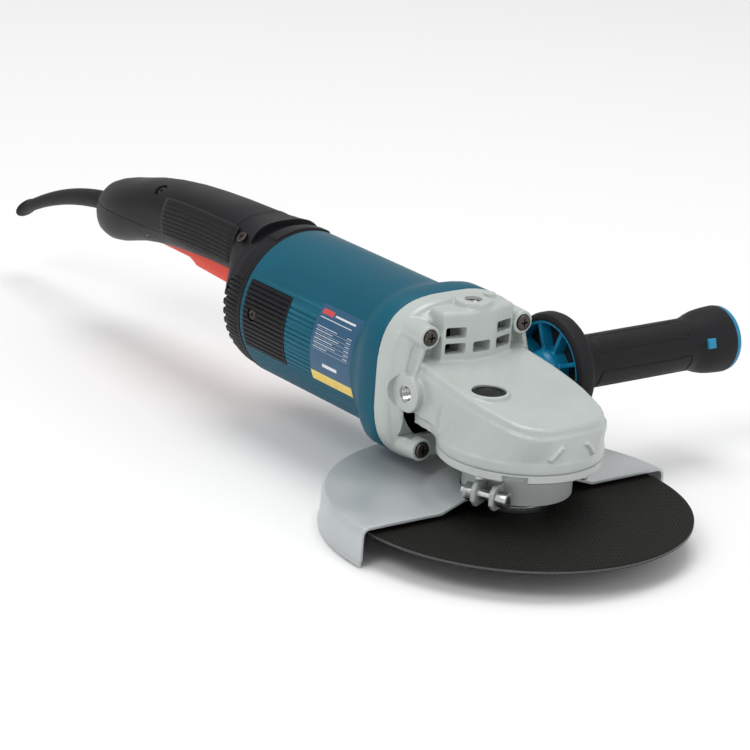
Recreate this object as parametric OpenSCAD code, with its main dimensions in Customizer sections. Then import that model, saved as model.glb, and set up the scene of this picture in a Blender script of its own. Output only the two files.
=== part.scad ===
// Corded angle grinder, 230 mm class, with half guard, cutting disc and side handle.
// Row frame: origin on the spindle axis at the spindle's free end, +Z up the spindle,
// +X towards the nose of the gear head, +Y towards the side handle. Millimetres.

/* [Disc and spindle] */
// Diameter of the cutting disc
disc_d = 230; // [180:1:250]
// Thickness of the disc
disc_t = 3; // [1.6:0.1:8]
// Bore of the disc
disc_bore = 22.3; // [20:0.1:25]
// Diameter of the spindle's threaded end
spindle_thread_d = 14; // [12:0.5:16]
// Diameter of the spindle where the bearing runs
spindle_d = 17; // [15:0.5:20]
// Free length of thread below the flange nut
spindle_tip = 5; // [3:0.5:10]
// Thickness of the flange nut
flange_nut_t = 7; // [5:0.5:12]
// Diameter of both clamping flanges
flange_d = 41; // [38:0.5:46]
// Thickness of the inner flange
inner_flange_t = 6; // [4:0.5:8]

/* [Guard] */
// Outer diameter of the guard's skirt
guard_d = 248; // [236:1:270]
// Gap between the disc and the plate above it
guard_gap = 3; // [2.5:0.5:6]
// Height of the skirt, plate included
guard_skirt = 25; // [18:1:40]
// Sheet thickness of the guard
guard_t = 2; // [1.2:0.1:3]
// Width of the clamping collar
collar_w = 18; // [12:0.5:18]
// Sheet thickness of the collar
collar_t = 2.5; // [1.5:0.1:3]
// Direction of the clamp's ears, seen from above
ear_angle = -66; // [-75:1:-40]
// Gap between the two ears
ear_gap = 10; // [6:0.5:14]

/* [Gear head] */
// Height of the motor axis above the spindle's free end
motor_z = 78; // [77:0.5:82]
// Diameter of the neck that the guard clamps on
neck_d = 66; // [60:0.5:68]
// Diameter of the gear chamber's round wall
head_d = 108; // [106:1:114]
// Half width of the head's upper part
head_half_w = 41; // [38:0.5:44]
// Reach of the nose in front of the spindle axis
nose_reach = 54; // [53:0.5:58]
// Height of the head's roof at the nose
nose_z = 83.5; // [82:0.5:88]
// Height of the head's roof at the vent tower
roof_z = 98; // [96:0.5:102]
// Width and height of the square flange behind the head
skirt_w = 110; // [108:0.5:120]
// Length of the flange behind the head
skirt_len = 22; // [18:0.5:30]
// Distance of the handle bosses behind the spindle axis
boss_x = 58; // [56:0.5:60]
// Width over the two side handle bosses
boss_span = 100; // [98:0.5:110]
// Outer diameter of the handle bosses
boss_d = 25; // [22:0.5:28]
// Core diameter of the handle sockets' thread
socket_d = 11.8; // [10:0.1:13]
// Depth of the handle sockets
socket_depth = 18; // [14:0.5:20]

/* [Motor] */
// Outer diameter of the motor housing
body_d = 104; // [102:0.5:110]
// Wall of the motor housing
body_wall = 4.5; // [3.5:0.5:5]
// Length of the motor housing
body_len = 158; // [155:1:170]
// Diameter of the armature's core
core_d = 55; // [50:0.5:56]
// Diameter of the commutator
commutator_d = 34; // [30:0.5:38]
// Diameter of the cooling fan
fan_d = 86; // [80:0.5:88]
// Diameter of the armature shaft between its bearings
shaft_d = 16; // [14:0.5:18]
// Ratio of the bevel gears
gear_ratio = 4; // [3.8:0.05:4.2]

/* [Rear handle] */
// Distance from the spindle axis to the handle's rear end
handle_rear = 487; // [470:1:500]
// Width of the grip
grip_w = 52; // [46:1:58]
// Height of the grip
grip_h = 43; // [38:1:48]
// Wall of the handle shells
handle_wall = 3; // [2.5:0.5:4]
// Width of the trigger
trigger_w = 20; // [16:0.5:24]
// Outer diameter of the cord guard
cord_guard_d = 14.4; // [12:0.2:18]
// Bore of the cord guard
cord_bore = 9; // [7:0.5:10]

/* [Side handle] */
// Length of the rubber grip
side_grip_len = 124; // [100:1:140]
// Diameter of the rubber grip
side_grip_d = 36; // [30:0.5:40]
// Diameter of the hand guard wheel
wheel_d = 75; // [70:1:90]
// Distance of the wheel's face from the head's centre plane
wheel_y = 66; // [62:0.5:72]

/* [Hidden] */
$fn = 96;
eps = 0.01;
clear = 0.3;              // clearance between a moving piece and its neighbour
run_fit = 0.05;           // radial clearance of a running fit

// heights on the spindle axis
disc_z = spindle_tip + flange_nut_t;
seat_z = disc_z + disc_t;
shoulder_z = seat_z + inner_flange_t;
plate_z = seat_z + guard_gap + guard_t;
neck_z0 = shoulder_z + 4;
collar_z0 = neck_z0 + 1;
flange_z0 = motor_z - 31;
flange_z1 = flange_z0 + 6;
chamber_z1 = flange_z1 + 20;
spindle_top = chamber_z1 + 11;

// stations along the motor axis, front to rear
skirt_x1 = -(boss_x + 4);
skirt_x0 = skirt_x1 - skirt_len;
ring_x0 = skirt_x0 - 22;
body_x0 = skirt_x0 - body_len;
core_x0 = ring_x0 - 79;
core_x1 = ring_x0 - 22;
commutator_x0 = core_x0 - 39;
commutator_x1 = core_x0 - 17;
bell_len = 24;
bell_x0 = body_x0 - bell_len;
shoulder_x = bell_x0;
body_r = body_d / 2;
bore_r = body_r - body_wall;

// gears
gear_r = 40;
pinion_r = gear_r / gear_ratio;
gear_teeth = 36;
pinion_teeth = 9;
face_w = 11;
tip_relief = 0.35;

// lock button
lock_pos = [-5, -25];
lock_r = 11;
lock_travel = 4;
lock_pin_r = 2.5;
lock_top = nose_z + 10;

// guard
guard_r = guard_d / 2;
collar_ri = neck_d / 2 + run_fit;
collar_ro = collar_ri + collar_t;
guard_chord_x = 3;

// rear handle
grip_top = motor_z + 48.5;
part_z = motor_z + 17;
trigger_pin = [-405, motor_z + 8];
trigger_pin_len = 41;
sweep_r = 300;            // bend radius of the cord guard
screw_spread = 38;
socket_z = motor_z + 57.5;
tower_half = 28.5;
tower_z = motor_z + 53;

painted = [0.74, 0.77, 0.75];
steel = [0.72, 0.73, 0.75];
teal = [0.05, 0.37, 0.50];
black = [0.13, 0.13, 0.15];
blue = [0.08, 0.50, 0.70];
red = [1.0, 0.29, 0.18];
copper = [0.72, 0.42, 0.22];

// ---------- helpers ----------
module cyl_z(z0, z1, r, x = 0, y = 0)
    translate([x, y, z0]) cylinder(h = z1 - z0, r = r);

module tube_z(z0, z1, ro, ri)
    difference() { cyl_z(z0, z1, ro); cyl_z(z0 - 1, z1 + 1, ri); }

module cyl_x(x0, x1, r, y = 0, z = motor_z)
    translate([x0, y, z]) rotate([0, 90, 0]) cylinder(h = x1 - x0, r = r);

module tube_x(x0, x1, ro, ri)
    difference() { cyl_x(x0, x1, ro); cyl_x(x0 - 1, x1 + 1, ri); }

module cone_x(x0, x1, r0, r1)
    translate([x0, 0, motor_z]) rotate([0, 90, 0]) cylinder(h = x1 - x0, r1 = r0, r2 = r1);

module cyl_y(y0, y1, r, x, z)
    translate([x, y0, z]) rotate([-90, 0, 0]) cylinder(h = y1 - y0, r = r);

// a shape drawn in the Y-Z plane and pushed along X
module push_x(x0, x1)
    translate([x0, 0, motor_z]) rotate([90, 0, 90]) linear_extrude(x1 - x0) children();

// a shape drawn in the X-Z plane and pushed along Y, centred
module push_y(w)
    translate([0, w / 2, 0]) rotate([90, 0, 0]) linear_extrude(w) children();

module rounded_rect(w, h, r) {
    square([w - 2 * r, h], center = true);
    square([w, h - 2 * r], center = true);
    for (sx = [-1, 1], sy = [-1, 1])
        translate([sx * (w / 2 - r), sy * (h / 2 - r)]) circle(r);
}

// part of a tube about the motor axis; side -1 is left, angles climb from the side
module arc_x(x0, x1, ro, ri, a0, a1, side = -1)
    translate([x0, 0, motor_z]) rotate([0, 90, 0])
        rotate([0, 0, side < 0 ? 270 - a1 : 90 + a0])
            rotate_extrude(angle = a1 - a0) translate([ri, 0]) square([ro - ri, x1 - x0]);

module screw_x(x, y, z, head_r, head_h, r, len) {
    cyl_x(x, x + head_h, head_r, y, z);
    cyl_x(x - len, x + eps, r, y, z);
}

function roof_at(x) = roof_z + (nose_z - roof_z) * (x + 46) / 96;

// ---------- gear head ----------
module skirt_shape() rounded_rect(skirt_w, skirt_w, 38);

module head_plan() {
    corner = 16;
    translate([skirt_x1, -head_half_w])
        square([nose_reach - skirt_x1 - corner, 2 * head_half_w]);
    translate([0, corner - head_half_w])
        square([nose_reach, 2 * (head_half_w - corner)]);
    for (s = [-1, 1])
        translate([nose_reach - corner, s * (head_half_w - corner)]) circle(corner);
}

module head_profile()
    polygon([[skirt_x1, flange_z1], [nose_reach, flange_z1], [nose_reach, nose_z - 3],
        [nose_reach - 4, nose_z], [-46, roof_z], [skirt_x1, roof_z]]);

module tower_plan()
    polygon([[skirt_x1 - 4, -tower_half], [-51, -tower_half], [-46, -9.5], [-46, 9.5],
        [-51, tower_half], [skirt_x1 - 4, tower_half]]);

module vent_slots() {
    slot_h = 6.5;
    for (row = [0, 1]) for (s = [-1, 1])
        translate([-56, s * 19 - 6.5, motor_z + 26 + 11 * row]) cube([14, 13, slot_h]);
    translate([-56, -8, motor_z + 26]) cube([14, 16, slot_h]);
}

module side_webs() {
    for (s = [-1, 1]) {
        // sloping web from the boss up to the flange corner
        translate([skirt_x1 - 1, s > 0 ? 44 : -48, motor_z]) cube([7, 4, 36]);
        // gusset from the boss forward to the head
        translate([0, s * 40, 0]) push_y(6)
            polygon([[skirt_x1, motor_z - 10], [-20, motor_z - 12], [-20, motor_z + 4],
                [skirt_x1, motor_z + 14]]);
    }
}

module gear_housing() {
    color(painted) difference() {
        union() {
            push_x(skirt_x0, skirt_x1) skirt_shape();
            cyl_z(flange_z1, motor_z - 11, head_d / 2);
            translate([0, 0, motor_z - 11]) cylinder(h = 14, r1 = head_d / 2, r2 = head_half_w + 2);
            intersection() {
                translate([0, 0, flange_z1]) linear_extrude(roof_z) head_plan();
                push_y(2 * head_half_w) head_profile();
            }
            translate([0, 0, motor_z]) linear_extrude(tower_z - motor_z) tower_plan();
            cyl_y(-boss_span / 2, boss_span / 2, boss_d / 2, -boss_x, motor_z);
            cyl_z(motor_z + 30, socket_z, boss_d / 2, -boss_x);
            cyl_z(motor_z + 46, socket_z - 0.5, 4, -66, 20);
            for (sy = [-1, 1], sz = [-1, 1])
                cyl_x(skirt_x1 - 1, -53, 7.5, sy * screw_spread, motor_z + sz * screw_spread);
            side_webs();
            cyl_z(nose_z, roof_at(lock_pos[0]) + 1.5, lock_r + 3, lock_pos[0], lock_pos[1]);
        }
        // fan chamber with the front bearing's seat left standing
        difference() {
            cyl_x(skirt_x0 - 1, skirt_x1 - 4, bore_r - 0.5);
            cyl_x(skirt_x1 - 16, skirt_x1, 21.5);
        }
        cyl_x(skirt_x1 - 15, skirt_x1 - 4, 17.5);
        cyl_x(skirt_x1 - 18, -22, 13.5);
        // air way from the fan into the tower, round the top socket's post
        difference() {
            translate([skirt_x1 - 5, 3 - tower_half, motor_z + 23])
                cube([12, 2 * tower_half - 6, 22]);
            cyl_z(motor_z + 20, socket_z, socket_d / 2 + 4, -boss_x);
        }
        vent_slots();
        // lower air outlets below the side bosses
        for (s = [-1, 1]) translate([skirt_x1 - 5, s * 34 - 10, motor_z - 33]) cube([6, 20, 19]);
        // gear chamber, top bearing seat
        cyl_z(flange_z1 - 1, chamber_z1, 44);
        cyl_z(chamber_z1 - 1, spindle_top + 1, 9);
        // lock button's stepped hole
        cyl_z(lock_top - 12.5, lock_top + 20, lock_r + clear, lock_pos[0], lock_pos[1]);
        cyl_z(chamber_z1 - 1, lock_top, lock_pin_r + run_fit, lock_pos[0], lock_pos[1]);
        // handle sockets
        for (s = [-1, 1])
            cyl_y(s > 0 ? boss_span / 2 - socket_depth : -boss_span / 2 - 1,
                s > 0 ? boss_span / 2 + 1 : socket_depth - boss_span / 2,
                socket_d / 2, -boss_x, motor_z);
        cyl_z(socket_z - socket_depth, socket_z + 1, socket_d / 2, -boss_x);
        // spot faces that let a handle's hub sit flat on its boss
        cyl_y(-skirt_w, -boss_span / 2, boss_d / 2 + 1.5, -boss_x, motor_z);
        cyl_y(boss_span / 2, skirt_w, boss_d / 2 + 1.5, -boss_x, motor_z);
        // screw holes
        for (sy = [-1, 1], sz = [-1, 1])
            cyl_x(skirt_x0 - 1, -40, 2.6, sy * screw_spread, motor_z + sz * screw_spread);
        for (a = [20 : 90 : 290])
            cyl_z(flange_z1 - 1, flange_z1 + 14, 2, 49 * cos(a), 49 * sin(a));
    }
}

module gear_housing_screws()
    color(steel) for (sy = [-1, 1], sz = [-1, 1])
        screw_x(-53, sy * screw_spread, motor_z + sz * screw_spread, 5, 3.2, 2.6, 38);

module bearing_box()
    color(painted) difference() {
        union() {
            cyl_z(flange_z0, flange_z1, head_d / 2 - 2);
            cyl_z(neck_z0, flange_z0 + eps, neck_d / 2);
        }
        cyl_z(flange_z0 - 11, flange_z1 + 1, 20);
        cyl_z(neck_z0 - 1, flange_z1, 16);
        for (a = [20 : 90 : 290])
            cyl_z(flange_z0 - 1, flange_z1 + 1, 2, 49 * cos(a), 49 * sin(a));
        rotate([0, 0, -42]) translate([47, -8, flange_z0 - 1]) cube([10, 16, 4.5]);
    }

module bearing_box_screws()
    color(steel) for (a = [20 : 90 : 290]) {
        cyl_z(flange_z0 - 3.5, flange_z0, 3.5, 49 * cos(a), 49 * sin(a));
        cyl_z(flange_z0 - eps, flange_z1 + 12, 2, 49 * cos(a), 49 * sin(a));
    }

module spindle_ball_bearing()
    color(steel) tube_z(flange_z0 - 11, flange_z0 + 1, 20, spindle_d / 2 + run_fit);

module spindle_top_bearing()
    color(steel) tube_z(chamber_z1 + 0.5, spindle_top + 1, 9, 6 + run_fit);

module dust_seal()
    color(black) tube_z(neck_z0 + 3, flange_z0 - 11, 16, spindle_d / 2 + 0.5);

// ---------- spindle train ----------
module spindle()
    color(steel) {
        cyl_z(0, spindle_tip, spindle_thread_d / 2 - 0.5);
        cyl_z(spindle_tip - eps, shoulder_z + eps, spindle_thread_d / 2);
        cyl_z(shoulder_z, chamber_z1 - 4, spindle_d / 2);
        cyl_z(chamber_z1 - 4 - eps, spindle_top, 6);
    }

module bevel_gear()
    color(steel) difference() {
        rotate_extrude() polygon([
            [spindle_d / 2, flange_z1 + 2], [gear_r - 2, flange_z1 + 2],
            [gear_r + 1, motor_z - pinion_r - 2],
            [gear_r, motor_z - pinion_r - tip_relief],
            [gear_r - face_w, motor_z - pinion_r * (1 - face_w / gear_r) - tip_relief],
            [gear_r - face_w - 0.3, chamber_z1 - 6.5], [14, chamber_z1 - 6.5],
            [14, chamber_z1 - 4], [spindle_d / 2, chamber_z1 - 4]]);
        translate([0, 0, motor_z - pinion_r - 3]) linear_extrude(20)
            for (i = [0 : gear_teeth - 1]) rotate(i * 360 / gear_teeth)
                translate([gear_r - face_w - 0.2, -1.2]) square([face_w + 4, 2.4]);
        for (a = [0 : 60 : 300])
            cyl_z(chamber_z1 - 11, chamber_z1, 3.5, 25.5 * cos(a), 25.5 * sin(a));
    }

module inner_flange()
    color(steel) difference() {
        union() {
            cyl_z(seat_z, shoulder_z, flange_d / 2);
            cyl_z(seat_z - disc_t + 0.5, seat_z + eps, disc_bore / 2 - 0.1);
        }
        cyl_z(0, shoulder_z + 1, spindle_thread_d / 2);
    }

module grinding_disc()
    color([0.13, 0.13, 0.12]) tube_z(disc_z, seat_z, disc_d / 2, disc_bore / 2);

module flange_nut()
    color(steel) difference() {
        cyl_z(spindle_tip, disc_z, flange_d / 2);
        cyl_z(0, disc_z + 1, spindle_thread_d / 2);
        for (a = [45 : 90 : 315]) cyl_z(spindle_tip - 1, spindle_tip + 4, 2.5,
            15 * cos(a), 15 * sin(a));
    }

// ---------- guard ----------
module guard_shell()
    color([0.68, 0.70, 0.70]) intersection() {
        rotate_extrude() union() {
            polygon([[collar_ro, plate_z + 7], [collar_ro, plate_z + 5],
                [60, plate_z - guard_t], [guard_r - 4, plate_z - guard_t],
                [guard_r - guard_t, plate_z - 4], [guard_r - guard_t, plate_z - guard_skirt],
                [guard_r, plate_z - guard_skirt], [guard_r, plate_z - 3],
                [guard_r - 3, plate_z], [61, plate_z], [collar_ro + 3, plate_z + 7]]);
            translate([guard_r - guard_t / 2, plate_z - guard_skirt + 1.5]) circle(1.5);
        }
        translate([guard_chord_x - 200, -200, -50]) cube([200, 400, 120]);
    }

module guard_collar()
    color(painted) difference() {
        union() {
            cyl_z(collar_z0, collar_z0 + collar_w, collar_ro);
            rotate([0, 0, ear_angle]) for (s = [-1, 1])
                translate([collar_ro - 2, s * (ear_gap / 2 + 1.5) - 1.5, collar_z0 - 2])
                    cube([16, 3, 17]);
        }
        cyl_z(collar_z0 - 5, collar_z0 + collar_w + 1, collar_ri);
        rotate([0, 0, ear_angle])
            translate([0, -ear_gap / 2, collar_z0 - 3]) cube([60, ear_gap, collar_w + 6]);
        rotate([0, 0, ear_angle]) translate([collar_ro + 7.5, 0, collar_z0 + 7])
            rotate([90, 0, 0]) translate([0, 0, -30]) cylinder(h = 60, r = 3);
    }

module on_clamp_axis()
    rotate([0, 0, ear_angle]) translate([collar_ro + 7.5, 0, collar_z0 + 7])
        rotate([-90, 0, 0]) children();

module guard_clamp_bolt()
    color(steel) on_clamp_axis() {
        translate([0, 0, ear_gap / 2 + 3]) cylinder(h = 8, r = 5);
        translate([0, 0, -ear_gap / 2 - 12]) cylinder(h = ear_gap + 17, r = 3);
    }

module guard_clamp_nut()
    color(steel) on_clamp_axis() translate([0, 0, -ear_gap / 2 - 9]) difference() {
        cylinder(h = 6, r = 5.8, $fn = 6);
        translate([0, 0, -1]) cylinder(h = 8, r = 3);
    }

// ---------- lock button ----------
module lock_button()
    color(black) {
        cyl_z(lock_top - 8, lock_top - 1.5, lock_r, lock_pos[0], lock_pos[1]);
        translate([lock_pos[0], lock_pos[1], lock_top - 1.5 - eps])
            cylinder(h = 1.5, r1 = lock_r, r2 = lock_r - 4);
        cyl_z(chamber_z1 - 2, lock_top - 7, lock_pin_r, lock_pos[0], lock_pos[1]);
    }

module lock_spring()
    color(steel) for (i = [0 : 2])
        translate([lock_pos[0], lock_pos[1], lock_top - 11.9 + 1.5 * i])
            rotate_extrude() translate([5, 0]) circle(0.5, $fn = 16);

// ---------- motor ----------
cover_x0 = body_x0 + 4;
cover_x1 = body_x0 + 52;
cover_a0 = -25;
cover_a1 = 29;

module motor_housing()
    color(teal) difference() {
        union() {
            cyl_x(body_x0, ring_x0, body_r);
            cone_x(ring_x0 - 6, ring_x0 + eps, body_r, body_r + 3);
            push_x(ring_x0, skirt_x0) skirt_shape();
        }
        cyl_x(body_x0 + 10, skirt_x0 + 1, bore_r);
        // open rear frame with the rear bearing's cup left standing
        difference() {
            cyl_x(body_x0 - 1, body_x0 + 11, bore_r);
            cyl_x(body_x0 - 2, body_x0 + 12, 19);
            for (a = [45 : 90 : 315]) translate([body_x0 - 2, 0, motor_z]) rotate([a, 0, 0])
                translate([0, -5, 0]) cube([14, 10, bore_r + 2]);
        }
        cyl_x(body_x0 + 2, body_x0 + 12, 15);
        cyl_x(body_x0 - 1, body_x0 + 12, 9);
        for (s = [-1, 1]) {
            arc_x(cover_x0, cover_x1, body_r + 2, body_r - 3, cover_a0, cover_a1, s);
            arc_x(cover_x0 + 4, cover_x1 - 4, body_r, bore_r - 2, cover_a0 + 5, cover_a1 - 5, s);
        }
        for (sy = [-1, 1], sz = [-1, 1])
            cyl_x(skirt_x0 - 18, skirt_x0 + 1, 2.6, sy * screw_spread, motor_z + sz * screw_spread);
        for (a = [45 : 90 : 315])
            translate([0, 0, motor_z]) rotate([a, 0, 0]) cyl_x(body_x0 - 1, body_x0 + 9, 2, 0, 40);
    }

module rating_label()
    color([0.16, 0.32, 0.52]) arc_x(ring_x0 - 54, ring_x0 - 9, body_r + 0.3, body_r, -24, 36);

module field_core()
    color([0.35, 0.35, 0.37]) difference() {
        cyl_x(core_x0, core_x1, bore_r);
        cyl_x(core_x0 - 1, core_x1 + 1, core_d / 2 + 1);
        for (s = [-1, 1], up = [-1, 1])
            arc_x(core_x0 - 1, core_x1 + 1, 40, core_d / 2, up * 34 - 14, up * 34 + 14, s);
    }

module field_coils()
    color(copper) for (a = [0, 180]) difference() {
        arc_x(core_x0 - 8, core_x1 + 8, 39.5, core_d / 2 + 1.5, a + 22, a + 158, 1);
        arc_x(core_x0 - 1, core_x1 + 1, 42, core_d / 2, a + 46, a + 134, 1);
    }

module air_baffle()
    color(black) tube_x(ring_x0 - 4, ring_x0 - 1, bore_r, 34);

module armature_shaft()
    color(steel) {
        cyl_x(body_x0 + 2.5, body_x0 + 12, 5);
        cyl_x(body_x0 + 12 - eps, skirt_x1 - 16, shaft_d / 2);
        cyl_x(skirt_x1 - 16 - eps, skirt_x1 - 4, 7.5);
        cyl_x(skirt_x1 - 4 - eps, -26, 5);
    }

module armature_core()
    color([0.40, 0.40, 0.42]) difference() {
        cyl_x(core_x0, core_x1, core_d / 2);
        cyl_x(core_x0 - 1, core_x1 + 1, shaft_d / 2);
        translate([core_x0 - 1, 0, motor_z]) rotate([0, 90, 0]) linear_extrude(core_x1 - core_x0 + 2)
            for (i = [0 : 15]) rotate(i * 22.5) translate([core_d / 2 - 9, -1.5]) square([12, 3]);
    }

module armature_windings()
    color(copper) {
        tube_x(core_x0 - 12, core_x0, core_d / 2 - 4, shaft_d / 2);
        tube_x(core_x1, core_x1 + 11, core_d / 2 - 4, shaft_d / 2);
    }

module commutator()
    color(copper) difference() {
        tube_x(commutator_x0, commutator_x1, commutator_d / 2, shaft_d / 2);
        translate([commutator_x0 - 1, 0, motor_z]) rotate([0, 90, 0]) linear_extrude(30)
            for (i = [0 : 23]) rotate(i * 15) translate([commutator_d / 2 - 1, -0.4]) square([2, 0.8]);
    }

module cooling_fan()
    color(black) difference() {
        union() {
            cyl_x(ring_x0 + 2, ring_x0 + 4.5, fan_d / 2);
            cyl_x(ring_x0 + 2, ring_x0 + 18, 13);
            translate([ring_x0 + 4, 0, motor_z]) rotate([0, 90, 0]) linear_extrude(14)
                for (i = [0 : 11]) rotate(i * 30) translate([12, 6]) rotate(-18)
                    square([fan_d / 2 - 16, 2]);
        }
        cyl_x(ring_x0, ring_x0 + 20, shaft_d / 2);
    }

module bevel_pinion()
    color(steel) difference() {
        union() {
            cone_x(-gear_r, face_w - gear_r, pinion_r - tip_relief,
                pinion_r * (1 - face_w / gear_r) - tip_relief);
            cyl_x(-gear_r - 8, -gear_r + eps, pinion_r - 1);
        }
        cyl_x(-gear_r - 9, face_w - gear_r + 1, 5);
        translate([-gear_r - 1, 0, motor_z]) rotate([0, 90, 0]) linear_extrude(face_w + 2)
            for (i = [0 : pinion_teeth - 1]) rotate(i * 360 / pinion_teeth)
                translate([pinion_r - 3, -1]) square([4, 2]);
    }

module front_motor_bearing()
    color(steel) tube_x(skirt_x1 - 15, skirt_x1 - 4, 17.5, 7.5 + run_fit);

module rear_motor_bearing()
    color(steel) tube_x(body_x0 + 2, body_x0 + 11, 15, 5 + run_fit);

module brush_holders()
    color([0.80, 0.66, 0.35]) for (s = [-1, 1]) difference() {
        translate([commutator_x0 + 3, s > 0 ? commutator_d / 2 + 3 : -bore_r + 2, motor_z - 7])
            cube([16, bore_r - 5 - commutator_d / 2, 14]);
        translate([commutator_x0 + 5, s * bore_r / 2 - 25, motor_z - 5]) cube([12, 50, 10]);
    }

module carbon_brushes()
    color([0.2, 0.2, 0.2]) for (s = [-1, 1])
        translate([commutator_x0 + 5, s > 0 ? commutator_d / 2 + 0.3 : -commutator_d / 2 - 18.3,
            motor_z - 5]) cube([12, 18, 10]);

module brush_springs()
    color(steel) for (s = [-1, 1]) for (i = [0 : 2])
        translate([commutator_x0 + 11, s * (commutator_d / 2 + 20 + 2.4 * i), motor_z])
            rotate([90, 0, 0]) rotate_extrude() translate([3.2, 0]) circle(0.6, $fn = 16);

module brush_cover(side)
    color(black) difference() {
        arc_x(cover_x0, cover_x1, body_r + 0.6, body_r - 3, cover_a0, cover_a1, side);
        cyl_y(side > 0 ? 30 : -body_r - 5, side > 0 ? body_r + 5 : -30, 4, cover_x0 + 10, motor_z + 3);
    }

module brush_cover_left() brush_cover(-1);
module brush_cover_right() brush_cover(1);

module brush_cover_screws()
    color(steel) for (s = [-1, 1])
        cyl_y(s > 0 ? body_r - 12 : 1.5 - body_r, s > 0 ? body_r - 1.5 : 12 - body_r, 3.6,
            cover_x0 + 10, motor_z + 3);

// ---------- rear bell and handle ----------
module oval_x(x, zc, half_w, half_h)
    translate([x, 0, zc]) rotate([0, 90, 0]) scale([half_h, half_w, 1])
        cylinder(h = 0.1, r = 1, $fn = 36);

grip_zc = grip_top - grip_h / 2;

module rear_bell()
    color(black) difference() {
        union() {
            cyl_x(bell_x0 + 4, body_x0, body_r - 1);
            cone_x(bell_x0, bell_x0 + 4 + eps, body_r - 4, body_r - 1);
        }
        cyl_x(bell_x0 + 3, body_x0 + 1, bore_r);
        cyl_x(bell_x0 - 1, bell_x0 + 4, 14, 0, grip_zc);
        for (a = [105 : 15 : 255]) if (abs(a - 135) > 5 && abs(a - 225) > 5)
            translate([bell_x0 - 1, 0, motor_z]) rotate([a, 0, 0])
                translate([0, -2.2, 26]) cube([6, 4.4, 18]);
        for (a = [45 : 90 : 315])
            translate([0, 0, motor_z]) rotate([a, 0, 0]) cyl_x(bell_x0 - 1, body_x0, 2, 0, 40);
    }

module bell_screws()
    color(steel) for (a = [45 : 90 : 315]) translate([0, 0, motor_z]) rotate([a, 0, 0])
        cyl_x(bell_x0 + 3, body_x0 + 8, 2, 0, 40);

// outer form of the whole rear handle, shrunk by skin for its cavity
module handle_form(skin) {
    w = grip_w / 2 - skin;
    h = grip_h / 2 - skin;
    hull() {
        oval_x(shoulder_x - 0.2, grip_zc - 0.5, w + 4, h + 3);
        oval_x(-380, grip_zc - 4, w, h);
    }
    hull() {
        oval_x(-380, grip_zc - 4, w, h);
        oval_x(-430, grip_zc - 11.5, w, h + 0.5);
    }
    hull() {
        oval_x(-430, grip_zc - 11.5, w, h + 0.5);
        oval_x(-458, grip_zc - 19, w - 1, h + 2);
        translate([skin + w - handle_rear, 0, grip_zc - 21]) scale([1, 1, 1.02])
            sphere(w - 2, $fn = 32);
    }
}

module at_handle_screws()
    for (x = [-322, -436], s = [-1, 1]) translate([x, s * 17, part_z]) children();

module handle_shell() difference() {
    handle_form(0);
    difference() {
        handle_form(handle_wall);
        at_handle_screws() cyl_z(-30, 40, 5);
    }
    at_handle_screws() cyl_z(-30, 10, 2);
    at_handle_screws() cyl_z(-30, -7, 4.2);
    cyl_y(-trigger_pin_len / 2, trigger_pin_len / 2, 2, trigger_pin[0], trigger_pin[1]);
    // way in for the cord guard
    translate([-handle_rear, 0, 0]) cyl_x(-10, 40, cord_guard_d / 2 + 0.2, 0, motor_z + 7.5);
}

module rear_handle_upper()
    color(black) intersection() {
        handle_shell();
        translate([-600, -100, part_z]) cube([600, 200, 100]);
    }

module rear_handle_lower()
    color([0.16, 0.16, 0.18]) difference() {
        intersection() {
            handle_shell();
            translate([-600, -100, 0]) cube([600, 200, part_z]);
        }
        translate([-414, -trigger_w / 2 - 1, 0]) cube([140, trigger_w + 2, part_z - 3]);
    }

module handle_screws()
    color(steel) at_handle_screws() {
        cyl_z(-10, -7, 4);
        cyl_z(-7 - eps, 10, 2);
    }

module trigger()
    color(red) push_y(trigger_w) difference() {
        union() {
            polygon([[-408, motor_z], [-364, motor_z - 0.5], [-358, motor_z - 4.5],
                [-312, motor_z - 6.5], [-292, motor_z - 8.5], [-290, motor_z - 6],
                [-290, motor_z + 8], [-380, motor_z + 8], [-400, motor_z + 12], [-410, motor_z + 12]]);
            translate(trigger_pin) circle(6);
        }
        translate(trigger_pin) circle(2 + run_fit);
    }

module trigger_pin_rod()
    color(steel) cyl_y(-trigger_pin_len / 2, trigger_pin_len / 2, 2, trigger_pin[0], trigger_pin[1]);

module trigger_spring()
    color(steel) for (s = [-1, 1], i = [0 : 2])
        translate([trigger_pin[0], s * (trigger_w / 2 + 1.5 + 1.2 * i), trigger_pin[1]])
            rotate([90, 0, 0]) rotate_extrude() translate([2.6, 0]) circle(0.5, $fn = 16);

module switch_body()
    color([0.2, 0.2, 0.22]) translate([-350, -9, motor_z + 19]) cube([46, 18, 20]);

// length of a round rod bent to the cord guard's radius
module bend(a0, a1, r)
    rotate([0, 0, a0]) rotate_extrude(angle = a1 - a0) translate([sweep_r, 0]) circle(r, $fn = 48);

module cord_guard() {
    sweep_a = 25;
    color(black) translate([8 - handle_rear, 0, motor_z + 7.5])
        rotate([0, -4, 0]) translate([0, 0, -sweep_r]) rotate([90, 0, 0])
            rotate([0, 0, 90]) {
                difference() {
                    union() {
                        bend(0, sweep_a - 0.5, cord_guard_d / 2);
                        bend(sweep_a - 1, sweep_a, cord_guard_d / 2 + 2);
                    }
                    bend(-1, sweep_a + 1, cord_bore / 2);
                }
            }
}

module cord_clamp()
    color(black) translate([-446, -12, motor_z + 12]) cube([12, 24, 4.5]);

// ---------- side handle ----------
grip_y0 = wheel_y + 15;
grip_y1 = grip_y0 + side_grip_len;
ring_y1 = grip_y1 + 16;

module about_handle()
    translate([-boss_x, 0, motor_z]) rotate([-90, 0, 0]) children();

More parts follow.
